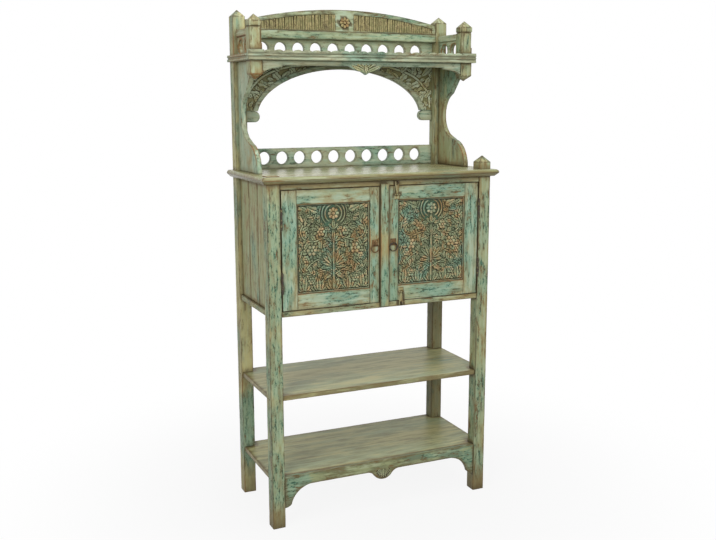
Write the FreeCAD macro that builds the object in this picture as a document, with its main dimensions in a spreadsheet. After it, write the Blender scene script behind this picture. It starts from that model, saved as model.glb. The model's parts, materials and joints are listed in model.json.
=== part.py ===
import FreeCAD, Part
import math
import os

import Sketcher

# A painted buffet cabinet: open shelves below, a two door cupboard, and a hutch with a gallery above.
# X runs to the right, the front faces -Y, Z is up, and the floor is at zero. All sizes in millimetres.

SIZES = (
    ("width", 900, "over the outsides of the posts"),
    ("depth", 406, "over the front and rear faces of the posts"),
    ("post", 48, "square section of every post"),
    ("pyramid", 25, "height of the pyramid that ends a post"),
    ("bottom_shelf_height", 196, "floor to the upper face of the bottom shelf"),
    ("middle_shelf_height", 506, "floor to the upper face of the middle shelf"),
    ("cupboard_height", 799, "floor to the underside of the cupboard"),
    ("shelf_thick", 18, "both open shelves"),
    ("shelf_setback", 5, "shelf edges behind the post faces"),
    ("floor_thick", 20, "cupboard floor"),
    ("door_height", 430, "door, bottom edge to top edge"),
    ("door_gap", 2, "above and below the doors"),
    ("top_rail_height", 21, "front rail over the doors"),
    ("rail_setback", 3, "rail and floor edge behind the post faces"),
    ("board_thick", 26, "top board"),
    ("board_front_overhang", 26, "top board in front of the posts"),
    ("board_side_overhang", 24, "top board beyond the posts at each side"),
    ("board_nose", 11, "rounding of the upper edge of the top board"),
    ("board_undercut", 13, "chamfer of the lower edge of the top board"),
    ("finial_rise", 27, "front post above the top board, below its pyramid"),
    ("stub_rise", 2, "worn end of the other front post above the top board"),
    ("apron_thick", 18, "bottom apron"),
    ("apron_setback", 3, "bottom apron behind the post faces"),
    ("apron_height", 42, "bottom apron between its bracket and its drop"),
    ("apron_bracket_height", 122, "bottom apron at a post"),
    ("apron_bracket_width", 112, "length of a bottom bracket"),
    ("apron_drop_height", 77, "bottom apron at its middle"),
    ("apron_drop_width", 136, "carved drop of the bottom apron"),
    ("plank_thick", 16, "side planks"),
    ("plank_setback", 14, "side planks behind the outer post faces"),
    ("plank_count", 3, "planks on each side"),
    ("back_thick", 12, "back planks"),
    ("back_setback", 4, "back planks in front of the rear post faces"),
    ("back_count", 6, "planks in the back"),
    ("joint_vee", 3, "depth of the vee between two planks"),
    ("inner_shelf_height", 226, "cupboard floor to the inner shelf"),
    ("cleat", 20, "square section of a shelf cleat"),
    ("stop_height", 32, "door stop batten"),
    ("stop_thick", 18, "door stop batten"),
    ("stop_clearance", 0.5, "closed door to its stop"),
    ("hinge_gap", 4.4, "post to door edge"),
    ("meeting_gap", 2, "left door to right door"),
    ("door_thick", 22, "door frames"),
    ("door_setback", 2, "door faces behind the post faces"),
    ("hinge_stile", 57, "stile at the hinges"),
    ("meeting_stile", 39, "stile at the pulls"),
    ("door_top_rail", 52, "upper rail of a door"),
    ("door_bottom_rail", 57, "lower rail of a door"),
    ("tenon_length", 28, "rail tenon in a stile"),
    ("tenon_thick", 8, "rail tenon in a stile"),
    ("groove", 9, "panel tongue in its frame"),
    ("tongue", 8, "thickness of a panel tongue"),
    ("panel_recess", 6, "panel ground behind the frame face"),
    ("panel_thick", 13, "panel from its ground to its back"),
    ("strip_width", 33, "cover strip"),
    ("strip_thick", 8, "cover strip"),
    ("strip_lap_low", 18, "cover strip below the door"),
    ("strip_lap_high", 11, "cover strip above the door"),
    ("hinge_height", 75, "butt hinge"),
    ("hinge_inset", 63, "hinge from the end of its door"),
    ("leaf_thick", 2, "hinge leaf"),
    ("leaf_depth", 16, "hinge leaf on the wood"),
    ("barrel_radius", 4, "hinge barrel"),
    ("pin_radius", 2.2, "hinge pin"),
    ("pin_head_radius", 3.2, "head of a hinge pin"),
    ("pin_head_height", 2.2, "head of a hinge pin"),
    ("pin_clearance", 0.05, "hinge pin in the door knuckle"),
    ("knuckle_gap", 0.3, "between two knuckles"),
    ("barrel_clearance", 0.4, "hinge barrel to the post face"),
    ("pull_height", 220, "door bottom to the eye of its pull"),
    ("pull_plate_width", 24, "pull plate"),
    ("pull_plate_height", 26, "pull plate"),
    ("pull_plate_thick", 1.6, "pull plate"),
    ("pull_plate_rise", 11.6, "pull plate above the middle of the eye wire"),
    ("ring_radius", 15, "middle of the ring wire"),
    ("ring_wire", 2.6, "radius of the ring wire"),
    ("ring_clearance", 0.4, "ring wire in its eye and before its plate"),
    ("eye_wire", 1.8, "radius of the eye wire"),
    ("wire_flats", 8, "flats hammered on the forged wire"),
    ("eye_depth", 12, "legs of an eye in the wood"),
    ("hasp_reach", 44, "hasp pivot to its staple"),
    ("hasp_tail", 9, "strap beyond its staple"),
    ("hasp_width", 18, "strap at its staple"),
    ("hasp_neck", 9, "strap at its pivot"),
    ("hasp_clip", 4.5, "corners clipped off the end of a strap"),
    ("hasp_thick", 2, "strap"),
    ("hasp_barrel", 2.7, "radius of the strap barrel"),
    ("hasp_pin", 1.4, "radius of the strap pin"),
    ("hasp_plate_width", 22, "plate that holds a strap"),
    ("hasp_plate_height", 15, "plate that holds a strap"),
    ("hasp_plate_thick", 1.6, "plate that holds a strap"),
    ("hasp_clearance", 0.4, "strap to the faces behind it"),
    ("top_hasp_place", 52, "upper strap from the middle of the cabinet"),
    ("bottom_hasp_place", 70, "lower strap from the middle of the cabinet"),
    ("slot_play", 1.4, "staple in the slot of its strap"),
    ("staple_radius", 3.6, "middle of the staple bend"),
    ("staple_wire", 1.7, "radius of the staple wire"),
    ("staple_reach", 7, "straight part of a staple before the strap"),
    ("hutch_height", 401, "top board to the top shelf"),
    ("bracket_thick", 19, "side brackets"),
    ("bracket_setback", 14, "side brackets behind the outer post faces"),
    ("bracket_foot", 215, "depth of a side bracket on the top board"),
    ("bracket_foot_radius", 105, "rounded front of a side bracket"),
    ("bracket_hollow_radius", 89, "hollow of a side bracket"),
    ("bracket_hollow_height", 200, "middle of the hollow above the top board"),
    ("bracket_waist", 33, "least depth of a side bracket"),
    ("bracket_shoulder", 46, "top shelf down to the front shoulder"),
    ("pierced_thick", 17, "pierced boards"),
    ("lower_rail_height", 77, "pierced rail on the top board"),
    ("hole", 49, "round holes in the pierced boards"),
    ("hole_pitch", 72.6, "round holes in the pierced boards"),
    ("hole_margin", 18, "least wood beside the last hole of a rear board"),
    ("side_hole_margin", 12, "least wood beside the last hole of a side board"),
    ("lower_hole_height", 40, "hole above the top board"),
    ("arch_thick", 19, "arch board"),
    ("arch_height", 160, "rise of the arch"),
    ("arch_crown", 22, "wood over the crown of the arch"),
    ("arch_foot", 52, "corbel width at the springing"),
    ("corbel_height", 41, "corbel under the springing"),
    ("corbel_nose", 7, "corbel beyond the springing"),
    ("arch_spread", 25, "middle of the arch oval below the springing"),
    ("arch_band", 18, "raised band round the arch"),
    ("arch_sink", 6, "sunk ground of the spandrels"),
    ("top_shelf_thick", 24, "top shelf"),
    ("top_shelf_side_overhang", 11, "top shelf beyond the posts at each side"),
    ("shelf_groove", 5, "groove round the edge of the top shelf"),
    ("gallery_post", 46, "square section of the gallery posts"),
    ("gallery_chamfer", 6, "chamfered corners of a gallery post"),
    ("chamfer_start", 34, "chamfers above the top shelf"),
    ("gallery_depth", 251, "rear post faces to the gallery post faces"),
    ("gallery_height", 65, "pierced boards on the top shelf"),
    ("gallery_hole_height", 29, "hole above the top shelf"),
    ("gallery_rail_height", 24, "rails of the side galleries"),
    ("gallery_rail_thick", 28, "rails of the side galleries"),
    ("gallery_rise", 22, "gallery post above its side rail"),
    ("neck_height", 18, "groove below the top of a gallery post"),
    ("neck_groove", 3, "groove round a gallery post"),
    ("pendant", 49, "gallery post below the top shelf"),
    ("pendant_point", 20, "pyramid under a gallery post"),
    ("scallop_height", 12, "scalloped strip above the top shelf"),
    ("scallop_thick", 17, "scalloped strip"),
    ("strip_groove", 3, "grooves along the scalloped strip"),
    ("strip_groove_height", 10, "underside to the lower groove"),
    ("strip_groove_pitch", 10, "between the two grooves"),
    ("scallop_pitch", 36.5, "nominal width of a scallop"),
    ("scallop_depth", 7, "depth of the scallops"),
    ("shelf_apron_thick", 16, "apron under the top shelf"),
    ("shelf_apron_setback", 4, "apron behind the gallery post faces"),
    ("shelf_apron_height", 18, "apron under the top shelf"),
    ("shelf_apron_end", 44, "apron at a gallery post"),
    ("shelf_apron_bracket", 76, "length of an end bracket"),
    ("shelf_drop_height", 49, "carved drop"),
    ("shelf_drop_width", 134, "carved drop, like two spread wings"),
    ("crest_rail_height", 30, "rail under the crest"),
    ("crest_rail_depth", 44, "rail under the crest"),
    ("crest_thick", 24, "crest board"),
    ("crest_setback", 3, "crest board behind the rail face"),
    ("crest_end_height", 35, "crest board at a post"),
    ("crest_rise", 48, "rise of the crest arch"),
    ("crest_border", 17, "frame round the reeded panels"),
    ("crest_foot_border", 5, "frame under the reeded panels"),
    ("crest_sink", 7, "depth of the reeded panels"),
    ("crest_block", 78, "plain block in the middle of the crest"),
    ("reed_pitch", 15, "nominal width of a reed"),
    ("reed_back", 3, "board behind the reeds"),
    ("reed_shy", 0.5, "reeds behind the face of the crest"),
    ("rosette_radius", 22, "rosette disc"),
    ("rosette_thick", 3, "rosette disc"),
    ("rosette_height", 35, "middle of the rosette above the rail"),
    ("petal_radius", 5.2, "rosette petal"),
    ("boss_radius", 6.5, "middle of the rosette"),
    ("boss_thick", 6, "middle of the rosette"),
    ("petal_place", 14, "rosette petal from the middle"),
    ("petal_thick", 5, "rosette petal"),
    ("petal_count", 8, "rosette petals"),
    ("rear_post_rise", 46, "rear post above the crest rail, below its pyramid"),
    ("stub_tenon", 14, "tenon of a rail in a post"),
    ("stub_tenon_thick", 8, "tenon of a rail in a post"),
    ("tenon_shoulder", 5, "rail beyond its tenon, above and below"),
)

doc = FreeCAD.newDocument("BuffetCabinet")
sheet = doc.addObject("Spreadsheet::Sheet", "Sizes")
for row, (alias, amount, note) in enumerate(SIZES, start=1):
    sheet.set(f"A{row}", note)
    sheet.set(f"B{row}", str(amount))
    sheet.setAlias(f"B{row}", alias)
doc.recompute()


class Size:
    """A length that knows both its spreadsheet expression and its present value."""

    def __init__(self, text, number):
        self.text = text
        self.number = number

    def __add__(self, other):
        other = as_size(other)
        return Size(f"({self.text} + {other.text})", self.number + other.number)

    def __sub__(self, other):
        other = as_size(other)
        return Size(f"({self.text} - {other.text})", self.number - other.number)

    def __mul__(self, other):
        other = as_size(other)
        return Size(f"({self.text} * {other.text})", self.number * other.number)

    def __truediv__(self, other):
        other = as_size(other)
        return Size(f"({self.text} / {other.text})", self.number / other.number)

    def __radd__(self, other):
        return as_size(other) + self

    def __rsub__(self, other):
        return as_size(other) - self

    def __rmul__(self, other):
        return as_size(other) * self

    def __neg__(self):
        return Size(f"(0 - {self.text})", -self.number)


def as_size(value):
    """Take a plain number as a size too."""
    return value if isinstance(value, Size) else Size(f"({value})", value)


def cell(alias):
    """The size held by one spreadsheet cell."""
    return Size(f"Sizes.{alias}", float(getattr(sheet, alias)))


def root(size):
    return Size(f"sqrt({size.text})", math.sqrt(size.number))


def whole(size):
    return Size(f"floor({size.text})", float(math.floor(size.number)))


def bind(thing, prop, size):
    """Tie one property to the spreadsheet."""
    thing.setExpression(prop, as_size(size).text)


def place(thing, x, y, z):
    bind(thing, "Placement.Base.x", x)
    bind(thing, "Placement.Base.y", y)
    bind(thing, "Placement.Base.z", z)
    return thing


def turn(thing, axis, degrees):
    thing.Placement = FreeCAD.Placement(FreeCAD.Vector(), FreeCAD.Rotation(FreeCAD.Vector(*axis), degrees))
    return thing


def box(name, x, y, z, length, width, height):
    """A block from its lowest corner: length in X, width in Y, height in Z."""
    block = doc.addObject("Part::Box", name)
    bind(block, "Length", length)
    bind(block, "Width", width)
    bind(block, "Height", height)
    return place(block, x, y, z)


def rod(name, axis, x, y, z, radius, length):
    """A cylinder that starts at a point and runs along +X, +Y or +Z."""
    bar = doc.addObject("Part::Cylinder", name)
    bind(bar, "Radius", radius)
    bind(bar, "Height", length)
    if axis == "X":
        turn(bar, (0, 1, 0), 90)
    if axis == "Y":
        turn(bar, (1, 0, 0), -90)
    return place(bar, x, y, z)


def pyramid(name, x, y, z, base, height, up=True):
    """A square pyramid whose base has its lowest corner at the point; it points up or down."""
    point = doc.addObject("Part::Wedge", name)
    for prop in ("Xmin", "Ymin", "Zmin"):
        bind(point, prop, 0)
    for prop in ("Xmax", "Zmax"):
        bind(point, prop, base)
    for prop in ("X2min", "X2max", "Z2min", "Z2max"):
        bind(point, prop, base / 2)
    bind(point, "Ymax", height)
    turn(point, (1, 0, 0), 90 if up else -90)
    return place(point, x, y + base if up else y, z)


def fuse(name, shapes):
    if len(shapes) == 1:
        return shapes[0]
    union = doc.addObject("Part::MultiFuse", name)
    union.Shapes = shapes
    union.Refine = True
    return union


def cut(name, base, tools):
    """Take one or more shapes out of another."""
    difference = doc.addObject("Part::Cut", name)
    difference.Base = base
    difference.Tool = fuse(name + "_waste", tools)
    difference.Refine = True
    return difference


def common(name, first, second):
    overlap = doc.addObject("Part::Common", name)
    overlap.Base = first
    overlap.Tool = second
    return overlap


def group(name, shapes):
    """Separate solids that share one node."""
    several = doc.addObject("Part::Compound", name)
    several.Links = shapes
    return several


def new_body(name):
    return doc.addObject("PartDesign::Body", name)


def new_sketch(body, role, name):
    """A sketch on one of the origin planes of a body."""
    plane = next(item for item in body.Origin.OriginFeatures if item.Role == role)
    sketch = body.newObject("Sketcher::SketchObject", name)
    sketch.AttachmentSupport = [(plane, "")]
    sketch.MapMode = "FlatFace"
    return sketch


def constrain(sketch, kind, where, size):
    number = sketch.addConstraint(Sketcher.Constraint(kind, *where, as_size(size).number))
    bind(sketch, f"Constraints[{number}]", size)


def outline(sketch, corners):
    """A closed outline. A corner is (u, v), or (u, v, radius) where an arc leads on to the next corner.

    A positive radius turns to the left along the way, a negative one to the right.
    """
    points = [(as_size(corner[0]), as_size(corner[1])) for corner in corners]
    ends = []
    for index, corner in enumerate(corners):
        first = FreeCAD.Vector(points[index][0].number, points[index][1].number, 0)
        after = points[(index + 1) % len(points)]
        last = FreeCAD.Vector(after[0].number, after[1].number, 0)
        if len(corner) == 2:
            geometry = sketch.addGeometry(Part.LineSegment(first, last))
            ends.append((geometry, 1, 2))
            continue
        radius = as_size(corner[2])
        chord = last - first
        across = FreeCAD.Vector(-chord.y, chord.x, 0).normalize()
        span = math.sqrt(max(radius.number ** 2 - (chord.Length / 2) ** 2, 0.0))
        side = 1 if radius.number > 0 else -1
        centre = (first + last) * 0.5 + across * (span * side)
        begin, finish = (first, last) if side > 0 else (last, first)
        start = math.atan2(begin.y - centre.y, begin.x - centre.x)
        stop = math.atan2(finish.y - centre.y, finish.x - centre.x)
        if stop <= start:
            stop += 2 * math.pi
        circle = Part.Circle(centre, FreeCAD.Vector(0, 0, 1), abs(radius.number))
        geometry = sketch.addGeometry(Part.ArcOfCircle(circle, start, stop))
        ends.append((geometry, 1, 2) if side > 0 else (geometry, 2, 1))
        constrain(sketch, "Radius", (geometry,), radius if side > 0 else -radius)
    for index, (geometry, start, stop) in enumerate(ends):
        follow = ends[(index + 1) % len(ends)]
        sketch.addConstraint(Sketcher.Constraint("Coincident", geometry, stop, follow[0], follow[1]))
        constrain(sketch, "DistanceX", (-1, 1, geometry, start), points[index][0])
        constrain(sketch, "DistanceY", (-1, 1, geometry, start), points[index][1])


def disc(sketch, u, v, radius):
    centre = FreeCAD.Vector(as_size(u).number, as_size(v).number, 0)
    ring = sketch.addGeometry(Part.Circle(centre, FreeCAD.Vector(0, 0, 1), as_size(radius).number))
    constrain(sketch, "Radius", (ring,), radius)
    constrain(sketch, "DistanceX", (-1, 1, ring, 3), u)
    constrain(sketch, "DistanceY", (-1, 1, ring, 3), v)


def pad(body, sketch, length, back=True):
    """Thicken a sketch; boards drawn on their front face grow to the back."""
    feature = body.newObject("PartDesign::Pad", body.Name + "_pad")
    feature.Profile = sketch
    bind(feature, "Length", length)
    feature.Reversed = back
    doc.recompute()
    return feature


def pocket(body, sketch, depth=None):
    """Sink a sketch into the front face of a board, or right through it."""
    feature = body.newObject("PartDesign::Pocket", body.Name + "_pocket")
    feature.Profile = sketch
    if depth is None:
        feature.Type = 1
        feature.Midplane = True
    else:
        bind(feature, "Length", depth)
    doc.recompute()
    return feature


def sawn_board(name, role, corners, thick, x, y, z):
    """A board sawn to an outline on its front face (XZ_Plane) or its left face (YZ_Plane)."""
    body = new_body(name)
    sketch = new_sketch(body, role, name + "_outline")
    outline(sketch, corners)
    pad(body, sketch, thick, back=(role == "XZ_Plane"))
    place(body, x, y, z)
    return body


def row_of_holes(body, role, first, height, count):
    """Round holes at the named pitch along a pierced board."""
    sketch = new_sketch(body, role, body.Name + "_hole")
    disc(sketch, first, height, cell("hole") / 2)
    bore = pocket(body, sketch)
    pattern = body.newObject("PartDesign::LinearPattern", body.Name + "_holes")
    pattern.Originals = [bore]
    pattern.Direction = (sketch, ["H_Axis"])
    bind(pattern, "Length", (count - 1) * cell("hole_pitch"))
    bind(pattern, "Occurrences", count)
    body.Tip = pattern
    doc.recompute()


# Places that many pieces share.
post = cell("post")
side = cell("width") / 2
inside = side - post
overall_depth = cell("depth") + cell("board_front_overhang")
rear = overall_depth / 2
front = rear - cell("depth")
front_post_back = front + post
rear_post_front = rear - post
floor_top = cell("cupboard_height") + cell("floor_thick")
door_low = floor_top + cell("door_gap")
door_high = door_low + cell("door_height")
top_rail_low = door_high + cell("door_gap")
board_low = top_rail_low + cell("top_rail_height")
board_top = board_low + cell("board_thick")
shelf_low = board_top + cell("hutch_height")
shelf_top = shelf_low + cell("top_shelf_thick")
gallery_front = rear - cell("gallery_depth")
gallery_back = gallery_front + cell("gallery_post")
gallery_inside = side - cell("gallery_post")
gallery_rail_low = shelf_top + cell("gallery_height")
gallery_rail_top = gallery_rail_low + cell("gallery_rail_height")
crest_low = gallery_rail_low + cell("crest_rail_height")
door_face = front + cell("door_setback")
door_back = door_face + cell("door_thick")
rail_face = front + cell("rail_setback")
pierced_face = rear - cell("pierced_thick")
arch_face = rear - cell("arch_thick")
back_face = rear - cell("back_setback") - cell("back_thick")
stub = cell("stub_tenon")
stub_thick = cell("stub_tenon_thick")
shoulder = cell("tenon_shoulder")
axis_x = inside - cell("hinge_gap") / 2
axis_y = front - cell("barrel_radius") - cell("barrel_clearance")


def tenon(name, sign, y, z, height):
    """A rail tenon beyond the inner face of the left (-1) or right (+1) posts, or its mortise."""
    return box(name, inside if sign > 0 else -inside - stub, y, z + shoulder,
               stub, stub_thick, height - 2 * shoulder)


def crest_rail_tenon(name, sign):
    return tenon(name, sign, rear_post_front + post / 2, gallery_rail_low, cell("crest_rail_height"))


def lower_rail_tenon(name, sign):
    return tenon(name, sign, pierced_face + shoulder, board_top, cell("lower_rail_height"))


def gallery_board_tenon(name, sign):
    return tenon(name, sign, pierced_face + shoulder, shelf_top, cell("gallery_height"))


def top_rail_tenon(name, sign):
    return tenon(name, sign, rail_face + shoulder, top_rail_low, cell("top_rail_height"))


def apron_tenon(name, sign):
    return tenon(name, sign, front + cell("apron_setback") + shoulder,
                 cell("bottom_shelf_height") - cell("apron_bracket_height"), cell("apron_bracket_height"))


def post_x(sign):
    return inside if sign > 0 else -side


def front_post(name, sign, eave, pointed):
    shaft = box(name + "_shaft", post_x(sign), front, 0, post, post, eave)
    parts = [shaft]
    if pointed:
        parts.append(pyramid(name + "_point", post_x(sign), front, eave, post, cell("pyramid")))
    blank = fuse(name + "_blank", parts)
    return cut(name, blank, [apron_tenon(name + "_apron_mortise", sign),
                             top_rail_tenon(name + "_rail_mortise", sign)])


def rear_post(name, sign):
    eave = crest_low + cell("rear_post_rise")
    shaft = box(name + "_shaft", post_x(sign), rear_post_front, 0, post, post, eave)
    point = pyramid(name + "_point", post_x(sign), rear_post_front, eave, post, cell("pyramid"))
    blank = fuse(name + "_blank", [shaft, point])
    return cut(name, blank, [lower_rail_tenon(name + "_rail_mortise", sign),
                             gallery_board_tenon(name + "_gallery_mortise", sign),
                             crest_rail_tenon(name + "_crest_mortise", sign)])


front_left_post = front_post("front_left_post", -1, board_top + cell("stub_rise"), False)
front_right_post = front_post("front_right_post", 1, board_top + cell("finial_rise"), True)
rear_left_post = rear_post("rear_left_post", -1)
rear_right_post = rear_post("rear_right_post", 1)

# The room that the posts take out of every board they pass.
post_room = fuse("post_room", [
    box("front_left_room", -side, front, 0, post, post, shelf_low),
    box("front_right_room", inside, front, 0, post, post, shelf_low),
    box("rear_left_room", -side, rear_post_front, 0, post, post, crest_low),
    box("rear_right_room", inside, rear_post_front, 0, post, post, crest_low)])

# Open shelves and the apron under the lower one.
shelf_side = side - cell("shelf_setback")
apron_back = front + cell("apron_setback") + cell("apron_thick")
shelf_front = front + cell("shelf_setback")
shelf_back = rear - cell("shelf_setback")
bottom_shelf = cut("bottom_shelf",
                   box("bottom_shelf_board", -shelf_side, apron_back,
                       cell("bottom_shelf_height") - cell("shelf_thick"), 2 * shelf_side,
                       shelf_back - apron_back, cell("shelf_thick")), [post_room])
middle_shelf = cut("middle_shelf",
                   box("middle_shelf_board", -shelf_side, shelf_front,
                       cell("middle_shelf_height") - cell("shelf_thick"), 2 * shelf_side,
                       shelf_back - shelf_front, cell("shelf_thick")), [post_room])


def level_bend(run, rise):
    """Radius of an arc that leaves level and rises or falls by one amount over a run."""
    return (run * run + rise * rise) / (2 * rise)


def both_sides(half):
    """Corners from the left end to the right end, from the corners of the right half."""
    left = []
    for index in range(len(half) - 1, 0, -1):
        left.append((-as_size(half[index][0]), half[index][1]) + tuple(half[index - 1][2:]))
    return left + half


def hanging_board(name, half, thick, y, z):
    """An apron: straight along the top, sawn below, with its top at a height."""
    end = half[-1][0]
    return sawn_board(name, "XZ_Plane", both_sides(half) + [(end, 0), (-end, 0)], thick, 0, y, z)


drop = cell("apron_drop_width") / 2
drop_dip = cell("apron_drop_height") - cell("apron_height")
lobe_x = drop * 0.5
lobe_rise = drop_dip * 0.42
bracket_fall = cell("apron_bracket_height") - cell("apron_height")
toe_run = cell("apron_bracket_width") * 0.24
toe_rise = bracket_fall * 0.15
apron_half = [
    (0, -cell("apron_drop_height"), level_bend(lobe_x, lobe_rise)),
    (lobe_x, lobe_rise - cell("apron_drop_height"), -level_bend(drop - lobe_x, drop_dip - lobe_rise)),
    (drop, -cell("apron_height")),
    (inside - cell("apron_bracket_width"), -cell("apron_height"),
     -level_bend(cell("apron_bracket_width") - toe_run, bracket_fall - toe_rise)),
    (inside - toe_run, toe_rise - cell("apron_bracket_height"), level_bend(toe_run, toe_rise)),
    (inside, -cell("apron_bracket_height"))]
bottom_apron = fuse("bottom_apron", [
    hanging_board("bottom_apron_board", apron_half, cell("apron_thick"),
                  front + cell("apron_setback"), cell("bottom_shelf_height")),
    apron_tenon("bottom_apron_left_tenon", -1),
    apron_tenon("bottom_apron_right_tenon", 1)])

# Staples that the hasps drop over, each a bend and two legs.
wire_flats = int(cell("wire_flats").number)


def forged_bend(name, radius, wire, degrees):
    """Wire hammered to eight flats and bent round the Z axis, from the +X side."""
    section = doc.addObject("Part::RegularPolygon", name + "_section")
    section.Polygon = wire_flats
    bind(section, "Circumradius", wire)
    turn(section, (1, 0, 0), 90)
    place(section, radius, 0, 0)
    bend = doc.addObject("Part::Revolution", name)
    bend.Source = section
    bend.Axis = (0, 0, 1)
    bend.Angle = degrees
    bend.Solid = True
    return bend


def forged_leg(name, x, y, z, wire, length):
    """A straight piece of the same wire, along +Y."""
    leg = doc.addObject("Part::Prism", name)
    leg.Polygon = wire_flats
    bind(leg, "Circumradius", wire)
    bind(leg, "Height", length)
    turn(leg, (1, 0, 0), -90)
    return place(leg, x, y, z)


def loop(name, x, y, z, radius, wire, leg_end):
    """A wire bent round the X axis in front of a point, with two legs that run back into the wood."""
    bend = forged_bend(name + "_bend", radius, wire, 180)
    turn(bend, (1, 0, 1), 180)
    place(bend, x, y, z)
    upper = forged_leg(name + "_upper_leg", x, y, z + radius, wire, leg_end - y)
    lower = forged_leg(name + "_lower_leg", x, y, z - radius, wire, leg_end - y)
    return fuse(name, [bend, upper, lower])


strap_front = door_face - cell("hasp_clearance") - cell("hasp_thick")
staple_y = strap_front - cell("staple_reach")
staple_end = rail_face + cell("eye_depth")
top_staple_z = top_rail_low + cell("top_rail_height") / 2
bottom_staple_z = cell("cupboard_height") + cell("floor_thick") / 2
top_staple = loop("top_staple", cell("top_hasp_place"), staple_y, top_staple_z,
                  cell("staple_radius"), cell("staple_wire"), staple_end)
bottom_staple = loop("bottom_staple", cell("bottom_hasp_place"), staple_y, bottom_staple_z,
                     cell("staple_radius"), cell("staple_wire"), staple_end)
hasp_staples = group("hasp_staples", [top_staple, bottom_staple])

# Cupboard.
plank_out = side - cell("plank_setback")
plank_in = plank_out - cell("plank_thick")
cupboard_floor = cut("cupboard_floor",
                     box("cupboard_floor_board", -shelf_side, rail_face, cell("cupboard_height"),
                         2 * shelf_side, back_face - rail_face, cell("floor_thick")),
                     [post_room, bottom_staple])
stop_face = door_back + cell("stop_clearance")
top_rail = cut("top_rail", fuse("top_rail_blank", [
    box("top_rail_board", -inside, rail_face, top_rail_low, 2 * inside, stop_face - rail_face,
        cell("top_rail_height")),
    top_rail_tenon("top_rail_left_tenon", -1),
    top_rail_tenon("top_rail_right_tenon", 1)]), [top_staple])
door_stop = box("door_stop", -inside, stop_face, board_low - cell("stop_height"), 2 * inside,
                cell("stop_thick"), cell("stop_height"))


def vee(name, deep, x, y, z, height):
    """An upright square bar set on its edge, which opens a vee in a face or takes off a corner."""
    bar = doc.addObject("Part::Box", name)
    bind(bar, "Length", deep * math.sqrt(2))
    bind(bar, "Width", deep * math.sqrt(2))
    bind(bar, "Height", height)
    turn(bar, (0, 0, 1), 45)
    return place(bar, x, y - deep, z)


def side_planks(name, sign):
    run = rear_post_front - front_post_back
    count = int(cell("plank_count").number)
    height = board_low - floor_top
    x = plank_in if sign > 0 else -plank_out
    face = plank_out if sign > 0 else -plank_out
    vees = [vee(f"{name}_vee_{index}", cell("joint_vee"), face, front_post_back + run * index / count,
                floor_top, height)
            for index in range(1, count)]
    planks = []
    for index in range(count):
        plank = box(f"{name}_plank_{index}", x, front_post_back + run * index / count, floor_top,
                    cell("plank_thick"), run / count, height)
        planks.append(cut(f"{name}_{index}", plank, vees) if vees else plank)
    return group(name, planks)


def back_boards(name):
    run = 2 * inside
    count = int(cell("back_count").number)
    height = board_low - cell("cupboard_height")
    face = back_face + cell("back_thick")
    vees = [vee(f"{name}_vee_{index}", cell("joint_vee"), run * index / count - inside, face,
                cell("cupboard_height"), height)
            for index in range(1, count)]
    planks = []
    for index in range(count):
        plank = box(f"{name}_plank_{index}", run * index / count - inside, back_face,
                    cell("cupboard_height"), run / count, cell("back_thick"), height)
        planks.append(cut(f"{name}_{index}", plank, vees) if vees else plank)
    return group(name, planks)


left_side_planks = side_planks("left_side_planks", -1)
right_side_planks = side_planks("right_side_planks", 1)
back_planks = back_boards("back_planks")

inner_shelf_low = floor_top + cell("inner_shelf_height")
inner_shelf_front = stop_face + cell("stop_thick")
inner_shelf = cut("inner_shelf",
                  box("inner_shelf_board", -plank_in, inner_shelf_front, inner_shelf_low, 2 * plank_in,
                      back_face - inner_shelf_front, cell("shelf_thick")), [post_room])
cleat_run = rear_post_front - front_post_back
inner_shelf_cleats = group("inner_shelf_cleats", [
    box("left_cleat", -plank_in, front_post_back, inner_shelf_low - cell("cleat"), cell("cleat"),
        cleat_run, cell("cleat")),
    box("right_cleat", plank_in - cell("cleat"), front_post_back, inner_shelf_low - cell("cleat"),
        cell("cleat"), cleat_run, cell("cleat"))])


def top_board_edges(shape, height):
    """Names of the front and end edges of a board at one height; the rear edge stays square."""
    names = []
    limit = shape.BoundBox
    for number, edge in enumerate(shape.Edges, start=1):
        middle = edge.BoundBox.Center
        level = abs(middle.z - height) < 0.01
        if level and middle.y < limit.YMax - 0.01:
            names.append(f"Edge{number}")
    return names


board_side = side + cell("board_side_overhang")
board_front = front - cell("board_front_overhang")
board_body = new_body("top_board_blank")
board_sketch = new_sketch(board_body, "XY_Plane", "top_board_outline")
outline(board_sketch, [(-board_side, board_front), (board_side, board_front), (board_side, rear),
                       (-board_side, rear)])
board_pad = pad(board_body, board_sketch, cell("board_thick"), back=False)
nose = board_body.newObject("PartDesign::Fillet", "top_board_nose")
nose.Base = (board_pad, top_board_edges(board_pad.Shape, board_pad.Shape.BoundBox.ZMax))
bind(nose, "Radius", cell("board_nose"))
doc.recompute()
undercut = board_body.newObject("PartDesign::Chamfer", "top_board_undercut")
undercut.Base = (nose, top_board_edges(nose.Shape, nose.Shape.BoundBox.ZMin))
bind(undercut, "Size", cell("board_undercut"))
place(board_body, 0, 0, board_low)
top_board = cut("top_board", board_body, [post_room])

# Hutch.


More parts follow.
